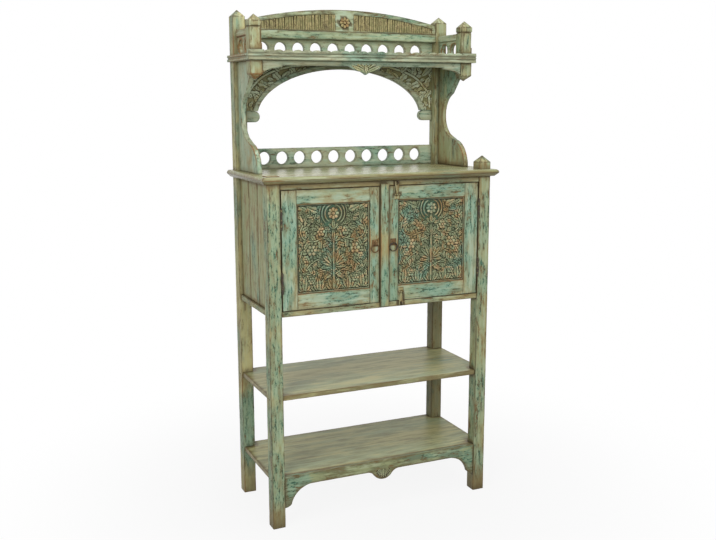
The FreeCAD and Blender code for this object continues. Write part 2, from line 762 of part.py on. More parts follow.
def side_bracket(name, sign):
    """A scrolled panel from the rear post to the gallery post, on the top board, under the top shelf."""
    foot = cell("bracket_foot")
    round_foot = cell("bracket_foot_radius")
    hollow = cell("bracket_hollow_radius")
    middle = cell("bracket_hollow_height")
    lip = cell("bracket_waist") + hollow * 0.495
    reach = rear_post_front - gallery_back
    high = cell("hutch_height")
    corners = [(0, 0), (0, high), (-reach, high), (-reach, high - cell("bracket_shoulder")),
               (-lip - hollow * 0.2, middle + hollow * 0.963), (-lip, middle + hollow * 0.863, -hollow),
               (-lip, middle - hollow * 0.863), (round_foot * 0.81 - foot, round_foot * 0.982, round_foot),
               (-foot, 0)]
    outer = side - cell("bracket_setback")
    x = outer - cell("bracket_thick") if sign > 0 else -outer
    return sawn_board(name, "YZ_Plane", corners, cell("bracket_thick"), x, rear_post_front, board_top)


left_side_bracket = side_bracket("left_side_bracket", -1)
right_side_bracket = side_bracket("right_side_bracket", 1)


def pierced_rear_board(name, low, height, hole_height, tenon_for):
    """A board with a row of round holes between the rear posts, tenoned at both ends."""
    span = 2 * inside
    count = whole((span - 2 * cell("hole_margin") - cell("hole")) / cell("hole_pitch")) + 1
    body = sawn_board(name + "_board", "XZ_Plane",
                      [(-inside, 0), (inside, 0), (inside, height), (-inside, height)],
                      cell("pierced_thick"), 0, pierced_face, low)
    row_of_holes(body, "XZ_Plane", -(count - 1) * cell("hole_pitch") / 2, hole_height, count)
    return fuse(name, [body, tenon_for(name + "_left_tenon", -1), tenon_for(name + "_right_tenon", 1)])


lower_gallery_rail = pierced_rear_board("lower_gallery_rail", board_top, cell("lower_rail_height"),
                                        cell("lower_hole_height"), lower_rail_tenon)
rear_gallery_board = pierced_rear_board("rear_gallery_board", shelf_top, cell("gallery_height"),
                                        cell("gallery_hole_height"), gallery_board_tenon)


def oval_prism(name, half_width, half_height, z, y, depth):
    """An elliptical block that runs from front to back."""
    oval = doc.addObject("Part::Ellipse", name + "_edge")
    bind(oval, "MajorRadius", half_width)
    bind(oval, "MinorRadius", half_height)
    turn(oval, (1, 0, 0), 90)
    place(oval, 0, y, z)
    prism = doc.addObject("Part::Extrusion", name)
    prism.Base = oval
    prism.DirMode = "Custom"
    prism.Dir = FreeCAD.Vector(0, 1, 0)
    bind(prism, "LengthFwd", depth)
    prism.Solid = True
    return prism


spring = shelf_low - cell("arch_crown") - cell("arch_height")
arch_half = inside - cell("arch_foot")
corbel_width = cell("arch_foot") + cell("corbel_nose")
corbel_round = cell("corbel_height") / 2
right_corbel = sawn_board("right_corbel", "XZ_Plane",
                          [(0, 0), (corbel_round - corbel_width, 0, corbel_round),
                           (-corbel_width, -corbel_round, corbel_round),
                           (corbel_round - corbel_width, -cell("corbel_height")),
                           (0, -cell("corbel_height"))],
                          cell("arch_thick"), inside, arch_face, spring)
left_corbel = sawn_board("left_corbel", "XZ_Plane",
                         [(0, 0), (0, -cell("corbel_height")),
                          (corbel_width - corbel_round, -cell("corbel_height"), corbel_round),
                          (corbel_width, -corbel_round, corbel_round), (corbel_width - corbel_round, 0)],
                         cell("arch_thick"), -inside, arch_face, spring)
arch_top = box("arch_blank", -inside, arch_face, spring, 2 * inside, cell("arch_thick"), shelf_low - spring)
oval_low = spring - cell("arch_spread")
oval_high = cell("arch_height") + cell("arch_spread")
oval_share = cell("arch_spread") / oval_high
oval_half = arch_half / root(1 - oval_share * oval_share)
arch_void = oval_prism("arch_void", oval_half, oval_high, oval_low, arch_face, cell("arch_thick"))
arch_band = oval_prism("arch_band_block", oval_half + cell("arch_band"), oval_high + cell("arch_band"),
                       oval_low, arch_face, cell("arch_sink"))
arch_ground = cut("arch_ground",
                  box("arch_ground_block", -inside, arch_face, spring, 2 * inside, cell("arch_sink"),
                      shelf_low - spring), [arch_band])
arch_sawn = cut("arch_sawn", arch_top, [arch_void, arch_ground])
arch_board = fuse("arch_board", [arch_sawn, left_corbel, right_corbel])

# Top shelf with its fence, apron and posts.
shelf_half = side + cell("top_shelf_side_overhang")
groove_deep = cell("shelf_groove") * 0.7
groove_low = shelf_low + (cell("top_shelf_thick") - cell("shelf_groove")) / 2
gallery_across = cell("gallery_post")
gallery_room = [box("left_gallery_room", -side, gallery_front, shelf_low, gallery_across, gallery_across,
                    cell("top_shelf_thick")),
                box("right_gallery_room", gallery_inside, gallery_front, shelf_low, gallery_across,
                    gallery_across, cell("top_shelf_thick"))]
edge_grooves = [
    box("left_edge_groove", -shelf_half, gallery_front, groove_low, groove_deep, cell("gallery_depth"),
        cell("shelf_groove")),
    box("right_edge_groove", shelf_half - groove_deep, gallery_front, groove_low, groove_deep,
        cell("gallery_depth"), cell("shelf_groove"))]
top_shelf_blank = box("top_shelf_blank", -shelf_half, gallery_front, shelf_low, 2 * shelf_half,
                      cell("gallery_depth"), cell("top_shelf_thick"))
top_shelf = cut("top_shelf", top_shelf_blank, [post_room] + gallery_room + edge_grooves)


def gallery_post(name, sign):
    """A post through the top shelf: a pendant below, a chamfered shaft and a necked, pointed cap above."""
    across = cell("gallery_post")
    x = gallery_inside if sign > 0 else -side
    low = shelf_low - cell("pendant")
    eave = gallery_rail_top + cell("gallery_rise")
    neck = cell("neck_groove")
    neck_low = eave - cell("neck_height") - neck
    blank = fuse(name + "_blank", [
        box(name + "_shaft", x, gallery_front, low, across, across, eave - low),
        pyramid(name + "_point", x, gallery_front, eave, across, cell("pyramid")),
        pyramid(name + "_pendant", x, gallery_front, low, across, cell("pendant_point"), up=False)])
    collar = cut(name + "_neck",
                 box(name + "_neck_outer", x - neck, gallery_front - neck, neck_low, across + 2 * neck,
                     across + 2 * neck, neck),
                 [box(name + "_neck_inner", x + neck, gallery_front + neck, neck_low, across - 2 * neck,
                      across - 2 * neck, neck)])
    start = shelf_top + cell("chamfer_start")
    corners = [vee(f"{name}_chamfer_{number}", cell("gallery_chamfer"), x + across * right, gallery_front,
                   start, neck_low - start) for number, right in enumerate((0, 1))]
    return cut(name, blank, [collar] + corners)


left_gallery_post = gallery_post("left_gallery_post", -1)
right_gallery_post = gallery_post("right_gallery_post", 1)

# The strip nailed along the front of the top shelf: plain before the posts, scalloped between them.
scallop_count = int((2 * inside / cell("scallop_pitch")).number + 0.5)
scallop_half = inside / scallop_count
strip_top = cell("top_shelf_thick") + cell("scallop_height")
scallop_base = strip_top - cell("scallop_depth")
scallop_bend = level_bend(scallop_half, cell("scallop_depth"))
scallop_corners = [(-shelf_half, 0), (shelf_half, 0), (shelf_half, strip_top), (inside, strip_top)]
for number in range(scallop_count):
    scallop_corners.append((inside - 2 * number * scallop_half, scallop_base, scallop_bend))
scallop_corners += [(-inside, scallop_base), (-inside, strip_top), (-shelf_half, strip_top)]
strip_face = gallery_front - cell("scallop_thick")
strip_blank = sawn_board("scalloped_strip_blank", "XZ_Plane", scallop_corners, cell("scallop_thick"),
                         0, strip_face, shelf_low)
strip_grooves = [
    box(f"scalloped_strip_groove_{number}", -shelf_half, strip_face,
        shelf_low + cell("strip_groove_height") + cell("strip_groove_pitch") * number, 2 * shelf_half,
        cell("strip_groove"), cell("strip_groove")) for number in (0, 1)]
scalloped_strip = cut("scalloped_strip", strip_blank, strip_grooves)

leaf = cell("shelf_drop_width") / 2
leaf_dip = cell("shelf_drop_height") - cell("shelf_apron_height")
wing_start = leaf * 0.3
wing_rise = leaf_dip * 0.4
wing_bend = leaf * 1.3
end_run = cell("shelf_apron_bracket")
end_step = (cell("shelf_apron_end") - cell("shelf_apron_height")) * 0.27
end_fall = cell("shelf_apron_end") - cell("shelf_apron_height") - end_step
shelf_apron_half = [
    (0, -cell("shelf_drop_height")),
    (wing_start, wing_rise - cell("shelf_drop_height"), wing_bend),
    (leaf, -cell("shelf_apron_height")),
    (gallery_inside - end_run, -cell("shelf_apron_height")),
    (gallery_inside - end_run, -cell("shelf_apron_height") - end_step, -level_bend(end_run, end_fall)),
    (gallery_inside, -cell("shelf_apron_end"))]
shelf_apron = hanging_board("shelf_apron", shelf_apron_half, cell("shelf_apron_thick"),
                            gallery_front + cell("shelf_apron_setback"), shelf_low)


def gallery_side(name, sign):
    """A pierced board between a rear post and a gallery post."""
    run = rear_post_front - gallery_back
    count = whole((run - 2 * cell("side_hole_margin") - cell("hole")) / cell("hole_pitch")) + 1
    middle = side - post / 2
    x = (middle if sign > 0 else -middle) - cell("pierced_thick") / 2
    body = sawn_board(name, "YZ_Plane", [(0, 0), (run, 0), (run, cell("gallery_height")),
                                         (0, cell("gallery_height"))],
                      cell("pierced_thick"), x, gallery_back, shelf_top)
    row_of_holes(body, "YZ_Plane", run / 2 - (count - 1) * cell("hole_pitch") / 2,
                 cell("gallery_hole_height"), count)
    return body


def gallery_rail(name, sign):
    middle = side - post / 2
    x = (middle if sign > 0 else -middle) - cell("gallery_rail_thick") / 2
    return box(name, x, gallery_back, gallery_rail_low, cell("gallery_rail_thick"),
               rear_post_front - gallery_back, cell("gallery_rail_height"))


left_gallery_side = gallery_side("left_gallery_side", -1)
right_gallery_side = gallery_side("right_gallery_side", 1)
left_gallery_rail = gallery_rail("left_gallery_rail", -1)
right_gallery_rail = gallery_rail("right_gallery_rail", 1)

# Crest: a rail, an arched board with two sunk panels, the reeds in them and a rosette between them.
crest_rail = fuse("crest_rail", [
    box("crest_rail_bar", -inside, rear_post_front, gallery_rail_low, 2 * inside, cell("crest_rail_depth"),
        cell("crest_rail_height")),
    crest_rail_tenon("crest_rail_left_tenon", -1),
    crest_rail_tenon("crest_rail_right_tenon", 1)])
crest_face = rear_post_front + cell("crest_setback")
crest_bend = level_bend(inside, cell("crest_rise"))
crest_centre = cell("crest_end_height") + cell("crest_rise") - crest_bend
panel_bend = crest_bend - cell("crest_border")
panel_near = cell("crest_block") / 2
panel_far = inside - cell("crest_border")
panel_near_top = crest_centre + root(panel_bend * panel_bend - panel_near * panel_near)
panel_far_top = crest_centre + root(panel_bend * panel_bend - panel_far * panel_far)
foot_border = cell("crest_foot_border")
right_sunk = [(panel_near, foot_border), (panel_far, foot_border), (panel_far, panel_far_top, panel_bend),
              (panel_near, panel_near_top)]
left_sunk = [(-panel_far, foot_border), (-panel_near, foot_border),
             (-panel_near, panel_near_top, panel_bend), (-panel_far, panel_far_top)]


def sunk_block(name, corners):
    return sawn_board(name, "XZ_Plane", corners, cell("crest_sink"), 0, crest_face, crest_low)


crest_blank = sawn_board("crest_blank", "XZ_Plane",
                         [(-inside, 0), (inside, 0), (inside, cell("crest_end_height"), crest_bend),
                          (-inside, cell("crest_end_height"))],
                         cell("crest_thick"), 0, crest_face, crest_low)
crest_board = cut("crest_board", crest_blank, [sunk_block("left_sunk_panel", left_sunk),
                                               sunk_block("right_sunk_panel", right_sunk)])


def reeds(name, sign, corners):
    """Half round reeds side by side on a thin back, trimmed to their sunk panel."""
    run = panel_far - panel_near
    count = int((run / cell("reed_pitch")).number)
    half = run / count / 2
    proud = cell("crest_sink") - cell("reed_back") - cell("reed_shy")
    radius = level_bend(half, proud)
    x = panel_near if sign > 0 else -panel_far
    tall = cell("crest_end_height") + cell("crest_rise")
    bars = [box(name + "_back", x, crest_face + cell("crest_sink") - cell("reed_back"), crest_low, run,
                cell("reed_back"), tall)]
    for index in range(count):
        bars.append(rod(f"{name}_reed_{index}", "Z", x + half * (2 * index + 1),
                        crest_face + cell("reed_shy") + radius, crest_low, radius, tall))
    return common(name, sunk_block(name + "_trim", corners), fuse(name + "_bars", bars))


crest_left_reeds = reeds("crest_left_reeds", -1, left_sunk)
crest_right_reeds = reeds("crest_right_reeds", 1, right_sunk)

rosette_z = crest_low + cell("rosette_height")
petals = [rod("rosette_disc", "Y", 0, crest_face - cell("rosette_thick"), rosette_z, cell("rosette_radius"),
              cell("rosette_thick"))]
petal_count = int(cell("petal_count").number)
for number in range(petal_count):
    angle = 2 * math.pi * number / petal_count
    petals.append(rod(f"petal_{number}", "Y", cell("petal_place") * math.cos(angle),
                      crest_face - cell("petal_thick"), rosette_z + cell("petal_place") * math.sin(angle),
                      cell("petal_radius"), cell("petal_thick")))
petals.append(rod("rosette_boss", "Y", 0, crest_face - cell("boss_thick"), rosette_z,
                  cell("boss_radius"), cell("boss_thick")))
crest_rosette = fuse("crest_rosette", petals)

# Doors. Each is two stiles and two rails, tenoned, round a panel in a groove.
opening_low = door_low + cell("door_bottom_rail")
opening_high = door_high - cell("door_top_rail")
groove_y = door_face + (cell("door_thick") - cell("tongue")) / 2
tenon_y = door_face + (cell("door_thick") - cell("tenon_thick")) / 2
hinge_edge = inside - cell("hinge_gap")
opening_far = hinge_edge - cell("hinge_stile")
strip_half = cell("strip_width") / 2
left_meeting_edge = strip_half + cell("meeting_gap")
opening_near = left_meeting_edge + cell("meeting_stile")
pull_z = door_low + cell("pull_height")
ring_y = door_face - cell("pull_plate_thick") - cell("ring_clearance") - cell("ring_wire")
eye_radius = cell("ring_wire") + cell("ring_clearance") + cell("eye_wire")


def rail_tenons(name, low, height, opening_left, opening_right):
    """Tenons, or their mortises, at both ends of a door rail."""
    length = cell("tenon_length")
    thick = cell("tenon_thick")
    return [box(name + "_left_tenon", opening_left - length, tenon_y, low, length, thick, height),
            box(name + "_right_tenon", opening_right, tenon_y, low, length, thick, height)]


def door_frame(name, left_edge, opening_left, opening_right, right_edge, left_name, right_name, eye):
    """Stiles, rails and panel of one door between its edges and the edges of its opening."""
    groove = cell("groove")
    upper_low = opening_high + groove
    upper_height = cell("door_top_rail") - groove - shoulder
    lower_low = door_low + shoulder
    lower_height = cell("door_bottom_rail") - groove - shoulder
    stiles = {}
    for stile, low_x, high_x, part in ((left_name, left_edge, opening_left, 0),
                                       (right_name, opening_right, right_edge, 1)):
        label = f"{name}_{stile}"
        blank = box(label + "_blank", low_x, door_face, door_low, high_x - low_x, cell("door_thick"),
                    cell("door_height"))
        slot_x = opening_left - groove if part == 0 else opening_right
        waste = [rail_tenons(label + "_upper", upper_low, upper_height, opening_left, opening_right)[part],
                 rail_tenons(label + "_lower", lower_low, lower_height, opening_left, opening_right)[part],
                 box(label + "_groove", slot_x, groove_y, opening_low - groove, groove, cell("tongue"),
                     opening_high - opening_low + 2 * groove)]
        if stile == "meeting_stile":
            waste.append(eye)
        stiles[stile] = cut(label, blank, waste)
    width = opening_right - opening_left
    upper = fuse(f"{name}_top_rail_blank", [
        box(f"{name}_top_rail_board", opening_left, door_face, opening_high, width, cell("door_thick"),
            cell("door_top_rail"))] + rail_tenons(f"{name}_top_rail", upper_low, upper_height, opening_left,
                                                  opening_right))
    lower = fuse(f"{name}_bottom_rail_blank", [
        box(f"{name}_bottom_rail_board", opening_left, door_face, door_low, width, cell("door_thick"),
            cell("door_bottom_rail"))] + rail_tenons(f"{name}_bottom_rail", lower_low, lower_height,
                                                     opening_left, opening_right))
    rails = [cut(f"{name}_top_rail", upper, [box(f"{name}_top_groove", opening_left, groove_y, opening_high,
                                                 width, cell("tongue"), groove)]),
             cut(f"{name}_bottom_rail", lower, [box(f"{name}_bottom_groove", opening_left, groove_y,
                                                    opening_low - groove, width, cell("tongue"), groove)])]
    panel = fuse(f"{name}_panel", [
        box(f"{name}_panel_tongue", opening_left - groove, groove_y, opening_low - groove,
            width + 2 * groove, cell("tongue"), opening_high - opening_low + 2 * groove),
        box(f"{name}_panel_field", opening_left, door_face + cell("panel_recess"), opening_low, width,
            cell("panel_thick"), opening_high - opening_low)])
    return [stiles["hinge_stile"], stiles["meeting_stile"]] + rails + [panel]


def pull_eye(name, x):
    """The eye that a ring hangs in, its legs driven into the stile."""
    return loop(name, x, ring_y, pull_z, eye_radius, cell("eye_wire"), door_face + cell("eye_depth"))


def pull_plate(name, x, eye):
    plate = box(name + "_back", x - cell("pull_plate_width") / 2, door_face - cell("pull_plate_thick"),
                pull_z + eye_radius + cell("pull_plate_rise") - cell("pull_plate_height"),
                cell("pull_plate_width"), cell("pull_plate_thick"), cell("pull_plate_height"))
    return fuse(name, [plate, eye])


def pull_ring(name, x):
    ring = forged_bend(name, cell("ring_radius"), cell("ring_wire"), 360)
    turn(ring, (1, 0, 0), 90)
    return place(ring, x, ring_y, pull_z - cell("ring_radius"))


left_pull_x = -(left_meeting_edge + cell("meeting_stile") / 2)
right_pull_x = (strip_half + opening_near) / 2
left_eye = pull_eye("left_eye", left_pull_x)
right_eye = pull_eye("right_eye", right_pull_x)
left_door = door_frame("left_door", -hinge_edge, -opening_far, -opening_near, -left_meeting_edge,
                       "hinge_stile", "meeting_stile", left_eye)
right_door = door_frame("right_door", -strip_half, opening_near, opening_far, hinge_edge,
                        "meeting_stile", "hinge_stile", right_eye)
left_pull_plate = pull_plate("left_pull_plate", left_pull_x, left_eye)
right_pull_plate = pull_plate("right_pull_plate", right_pull_x, right_eye)
left_pull_ring = pull_ring("left_pull_ring", left_pull_x)
right_pull_ring = pull_ring("right_pull_ring", right_pull_x)
meeting_strip = box("meeting_strip", -strip_half, door_face - cell("strip_thick"),
                    door_low - cell("strip_lap_low"), cell("strip_width"), cell("strip_thick"),
                    cell("door_height") + cell("strip_lap_low") + cell("strip_lap_high"))

# Butt hinges. The frame leaf carries the outer knuckles and the pin, the door leaf the middle one.
knuckle = (cell("hinge_height") - 2 * cell("knuckle_gap")) / 3
hinge_lows = (door_low + cell("hinge_inset"), door_high - cell("hinge_inset") - cell("hinge_height"))


def hinge_leaf(name, sign, low, at_door):
    """One leaf: a plate in the gap, with its knuckles on the hinge axis."""
    thick = cell("leaf_thick")
    outer = inside - thick
    door_side = inside - cell("hinge_gap")
    near = door_side if at_door else outer
    x = near if sign > 0 else -near - thick
    step = knuckle + cell("knuckle_gap")
    starts = [low + step] if at_door else [low, low + 2 * step]
    face = door_face if at_door else front
    pieces = [box(name + "_plate", x, face, low, thick, cell("leaf_depth"), cell("hinge_height"))]
    for number, start in enumerate(starts):
        pieces.append(box(f"{name}_neck_{number}", x, axis_y, start, thick, face - axis_y, knuckle))
        pieces.append(rod(f"{name}_knuckle_{number}", "Z", sign * axis_x, axis_y, start,
                          cell("barrel_radius"), knuckle))
    play = cell("pin_clearance") if at_door else 0
    bore = rod(name + "_bore", "Z", sign * axis_x, axis_y, low, cell("pin_radius") + play,
               cell("hinge_height"))
    return cut(name, fuse(name + "_blank", pieces), [bore])


def hinge_pin(name, sign, low):
    shank = rod(name + "_shank", "Z", sign * axis_x, axis_y, low, cell("pin_radius"), cell("hinge_height"))
    head = rod(name + "_head", "Z", sign * axis_x, axis_y, low + cell("hinge_height"),
               cell("pin_head_radius"), cell("pin_head_height"))
    return fuse(name, [shank, head])


frame_leaves = []
pins = []
for sign, word in ((-1, "left"), (1, "right")):
    for number, low in enumerate(hinge_lows):
        frame_leaves.append(hinge_leaf(f"{word}_frame_leaf_{number}", sign, low, False))
        pins.append(hinge_pin(f"{word}_pin_{number}", sign, low))
hinge_frame_leaves = group("hinge_frame_leaves", frame_leaves)
hinge_pins = group("hinge_pins", pins)
left_hinge_door_leaves = group("left_hinge_door_leaves", [
    hinge_leaf(f"left_door_leaf_{number}", -1, low, True) for number, low in enumerate(hinge_lows)])
right_hinge_door_leaves = group("right_hinge_door_leaves", [
    hinge_leaf(f"right_door_leaf_{number}", 1, low, True) for number, low in enumerate(hinge_lows)])

# Hasps on the right door. Each strap turns on a pin in its plate and drops its slot over a staple.
pivot_y = door_face - cell("hasp_clearance") - cell("hasp_barrel")
strap_bore = cell("hasp_pin") + cell("pin_clearance")


def hasp_plate(name, x, staple_z, sign):
    """The plate on the door, its two lugs and the pin between them; sign is +1 if the strap points up."""
    pivot = staple_z - sign * cell("hasp_reach")
    half = cell("hasp_plate_width") / 2
    lug = half - cell("hasp_neck") / 2 - cell("knuckle_gap")
    gap = cell("hasp_barrel") + cell("hasp_clearance")
    tall = cell("hasp_plate_height")
    plate_z = pivot - gap - tall if sign > 0 else pivot + gap
    lug_z = pivot - gap if sign > 0 else pivot
    thick = cell("hasp_plate_thick")
    pieces = [box(name + "_back", x - half, door_face - thick, plate_z, 2 * half, thick, tall)]
    for number, start in enumerate((x - half, x + half - lug)):
        pieces.append(box(f"{name}_lug_{number}", start, door_face - thick, lug_z, lug, thick, gap))
        pieces.append(rod(f"{name}_knuckle_{number}", "X", start, pivot_y, pivot, cell("hasp_barrel"), lug))
    pieces.append(rod(name + "_pin", "X", x - half, pivot_y, pivot, cell("hasp_pin"), 2 * half))
    return fuse(name, pieces)


def hasp_strap(name, x, staple_z, sign):
    """The strap: narrow at its barrel, wide round the slot, its end clipped."""
    reach = cell("hasp_reach")
    pivot = staple_z - sign * reach
    neck = cell("hasp_neck") / 2
    wide = cell("hasp_width") / 2
    end = reach + cell("hasp_tail")
    clip = cell("hasp_clip")
    shoulder = cell("hasp_barrel") + 2 * cell("hasp_clearance")
    slot_wide = 2 * (cell("staple_wire") + cell("slot_play"))
    slot_tall = 2 * (cell("staple_radius") + cell("staple_wire") + cell("slot_play"))
    shape = [(-neck, 0), (neck, 0), (neck, sign * shoulder), (wide, sign * (reach - slot_tall / 2)),
             (wide, sign * (end - clip)), (wide - clip, sign * end), (clip - wide, sign * end),
             (-wide, sign * (end - clip)), (-wide, sign * (reach - slot_tall / 2)),
             (-neck, sign * shoulder)]
    flat = sawn_board(name + "_flat", "XZ_Plane", shape, cell("hasp_thick"), x, strap_front, pivot)
    barrel = rod(name + "_barrel", "X", x - neck, pivot_y, pivot, cell("hasp_barrel"), 2 * neck)
    bore = rod(name + "_bore", "X", x - neck, pivot_y, pivot, strap_bore, 2 * neck)
    slot = box(name + "_slot", x - slot_wide / 2, strap_front, staple_z - slot_tall / 2, slot_wide,
               cell("hasp_thick"), slot_tall)
    return cut(name, fuse(name + "_blank", [flat, barrel]), [bore, slot])


top_hasp_plate = hasp_plate("top_hasp_plate", cell("top_hasp_place"), top_staple_z, 1)
top_hasp_strap = hasp_strap("top_hasp_strap", cell("top_hasp_place"), top_staple_z, 1)
bottom_hasp_plate = hasp_plate("bottom_hasp_plate", cell("bottom_hasp_place"), bottom_staple_z, -1)
bottom_hasp_strap = hasp_strap("bottom_hasp_strap", cell("bottom_hasp_place"), bottom_staple_z, -1)

pieces = [
    front_left_post, front_right_post, rear_left_post, rear_right_post, bottom_shelf, middle_shelf,
    bottom_apron, cupboard_floor, inner_shelf, inner_shelf_cleats, left_side_planks, right_side_planks,
    back_planks, top_rail, door_stop, top_board, left_side_bracket, right_side_bracket, lower_gallery_rail,
    arch_board, top_shelf, shelf_apron, scalloped_strip, left_gallery_post, right_gallery_post,
    left_gallery_side, right_gallery_side, left_gallery_rail, right_gallery_rail, rear_gallery_board,
    crest_rail, crest_board, crest_left_reeds, crest_right_reeds, crest_rosette, meeting_strip,
    hinge_frame_leaves, hinge_pins, left_hinge_door_leaves, right_hinge_door_leaves, left_pull_plate,
    left_pull_ring, right_pull_plate, right_pull_ring, hasp_staples, top_hasp_plate, top_hasp_strap,
    bottom_hasp_plate, bottom_hasp_strap] + left_door + right_door

doc.recompute()
for thing in doc.Objects:
    if "Invalid" in thing.State or "Error" in thing.State:
        raise RuntimeError(f"{thing.Name} did not build")
os.makedirs("parts", exist_ok=True)
for piece in pieces:
    piece.Label = piece.Name
    shape = piece.Shape
    if shape.isNull() or not shape.isValid() or not shape.Solids:
        raise RuntimeError(f"{piece.Name} has no sound solid")
    shape.exportStep(f"parts/{piece.Label}.step")
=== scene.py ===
import json
import math

import bmesh
import bpy
import numpy as np
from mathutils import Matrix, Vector, kdtree, noise
from mathutils.bvhtree import BVHTree


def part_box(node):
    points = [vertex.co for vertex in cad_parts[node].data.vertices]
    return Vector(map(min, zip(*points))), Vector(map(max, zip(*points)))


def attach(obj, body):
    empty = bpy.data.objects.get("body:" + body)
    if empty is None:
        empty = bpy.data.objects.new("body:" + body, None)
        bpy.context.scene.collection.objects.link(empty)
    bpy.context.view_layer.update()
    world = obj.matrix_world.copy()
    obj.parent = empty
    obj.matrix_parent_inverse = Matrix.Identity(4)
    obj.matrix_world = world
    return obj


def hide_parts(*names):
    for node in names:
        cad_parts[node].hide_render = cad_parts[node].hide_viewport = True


# A painted and rubbed-down buffet cabinet. Metres, X to the right, front towards -Y, floor at zero.
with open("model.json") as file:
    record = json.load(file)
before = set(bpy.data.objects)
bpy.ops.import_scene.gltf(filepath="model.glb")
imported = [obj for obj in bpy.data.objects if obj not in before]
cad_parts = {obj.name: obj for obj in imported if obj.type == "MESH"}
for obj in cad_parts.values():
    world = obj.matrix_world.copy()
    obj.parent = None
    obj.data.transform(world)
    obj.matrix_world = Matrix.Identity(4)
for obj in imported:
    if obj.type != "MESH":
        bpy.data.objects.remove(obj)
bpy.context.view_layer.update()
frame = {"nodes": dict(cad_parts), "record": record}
MM = 0.001
BODY_OF = {node: body for body, nodes in frame["record"]["behaviour"]["bodies"].items() for node in nodes}
SLOT_OF = {row["node"]: row["material_slot"] for row in frame["record"]["subparts"]}


def paint(red, green, blue):
    """A colour as it is seen on a screen, 0 to 255, as Blender's linear colour."""
    return tuple((c / 255 / 12.92 if c < 10.3 else ((c / 255 + 0.055) / 1.055) ** 2.4)
                 for c in (red, green, blue)) + (1.0,)


MINT = paint(154, 170, 144)
SAGE = paint(146, 152, 112)
LEEK = paint(152, 162, 126)
OLIVE = paint(126, 121, 80)
KHAKI = paint(154, 142, 98)
AQUA = paint(106, 153, 136)
TEAL = paint(44, 106, 86)
DEEP_TEAL = paint(20, 54, 44)
TAN = paint(156, 120, 74)
DUN = paint(152, 133, 90)
PEACH = paint(190, 168, 128)
PALE = paint(186, 194, 166)
STRAW = paint(180, 175, 126)
RED_BROWN = paint(114, 76, 44)
EARTH = paint(112, 92, 56)
MOSS = paint(74, 80, 54)
UMBER = paint(64, 54, 34)
DARK = paint(36, 29, 18)
RUST = paint(74, 52, 36)
IRON = paint(46, 40, 33)


class Flow:
    """One output inside a finish's node tree. The operators add Math nodes."""

    def __init__(self, finish, socket):
        self.finish = finish
        self.socket = socket

    def __add__(self, other):
        return self.finish.math("ADD", self, other)

    def __sub__(self, other):
        return self.finish.math("SUBTRACT", self, other)

    def __rsub__(self, other):
        return self.finish.math("SUBTRACT", other, self)

    def __mul__(self, other):
        return self.finish.math("MULTIPLY", self, other)

    __radd__ = __add__
    __rmul__ = __mul__


class Finish:
    """A material that is written as expressions and ends in one Principled surface."""

    def __init__(self, name):
        self.material = bpy.data.materials.new(name)
        self.material.use_nodes = True
        self.tree = self.material.node_tree
        self.tree.nodes.clear()
        self.surface = self.tree.nodes.new("ShaderNodeBsdfPrincipled")
        end = self.tree.nodes.new("ShaderNodeOutputMaterial")
        self.tree.links.new(self.surface.outputs[0], end.inputs["Surface"])

    def node(self, kind, settings, inputs, output=0):
        """Any node: its settings first, then the values or links of its sockets."""
        made = self.tree.nodes.new(kind)
        for key, value in settings.items():
            setattr(made, key, value)
        for key, value in inputs.items():
            self.feed(made.inputs[key], value)
        return Flow(self, made.outputs[output])

    def feed(self, socket, value):
        if isinstance(value, Flow):
            self.tree.links.new(value.socket, socket)
        else:
            socket.default_value = value

    def math(self, operation, *values):
        return self.node("ShaderNodeMath", {"operation": operation}, dict(enumerate(values)))

    def attribute(self, name, output):
        return self.node("ShaderNodeAttribute", {"attribute_name": name}, {}, output)

    def stretched(self, vector, scale):
        return self.node("ShaderNodeVectorMath", {"operation": "MULTIPLY"}, {0: vector, 1: scale})

    def noise(self, vector, scale, detail=3.0, roughness=0.55):
        """Cloudy noise, 0 to 1, at so many waves a metre along and across the grain."""
        return self.node("ShaderNodeTexNoise", {}, {"Vector": self.stretched(vector, scale), "Scale": 1.0,
                                                    "Detail": detail, "Roughness": roughness})

    def smooth(self, value, low, high):
        """0 below low, 1 above high, and an easy slope between."""
        return self.node("ShaderNodeMapRange", {"interpolation_type": "SMOOTHSTEP"},
                         {"Value": value, "From Min": low, "From Max": high})

    def mix(self, share, first, second):
        return self.node("ShaderNodeMix", {"data_type": "RGBA"}, {0: share, 6: first, 7: second}, 2)

    def set(self, **sockets):
        for name, value in sockets.items():
            self.feed(self.surface.inputs[name.replace("_", " ")], value)
        return self.material

    def bump(self, height, distance, strength):
        return self.node("ShaderNodeBump", {},
                         {"Height": height, "Distance": distance, "Strength": strength})


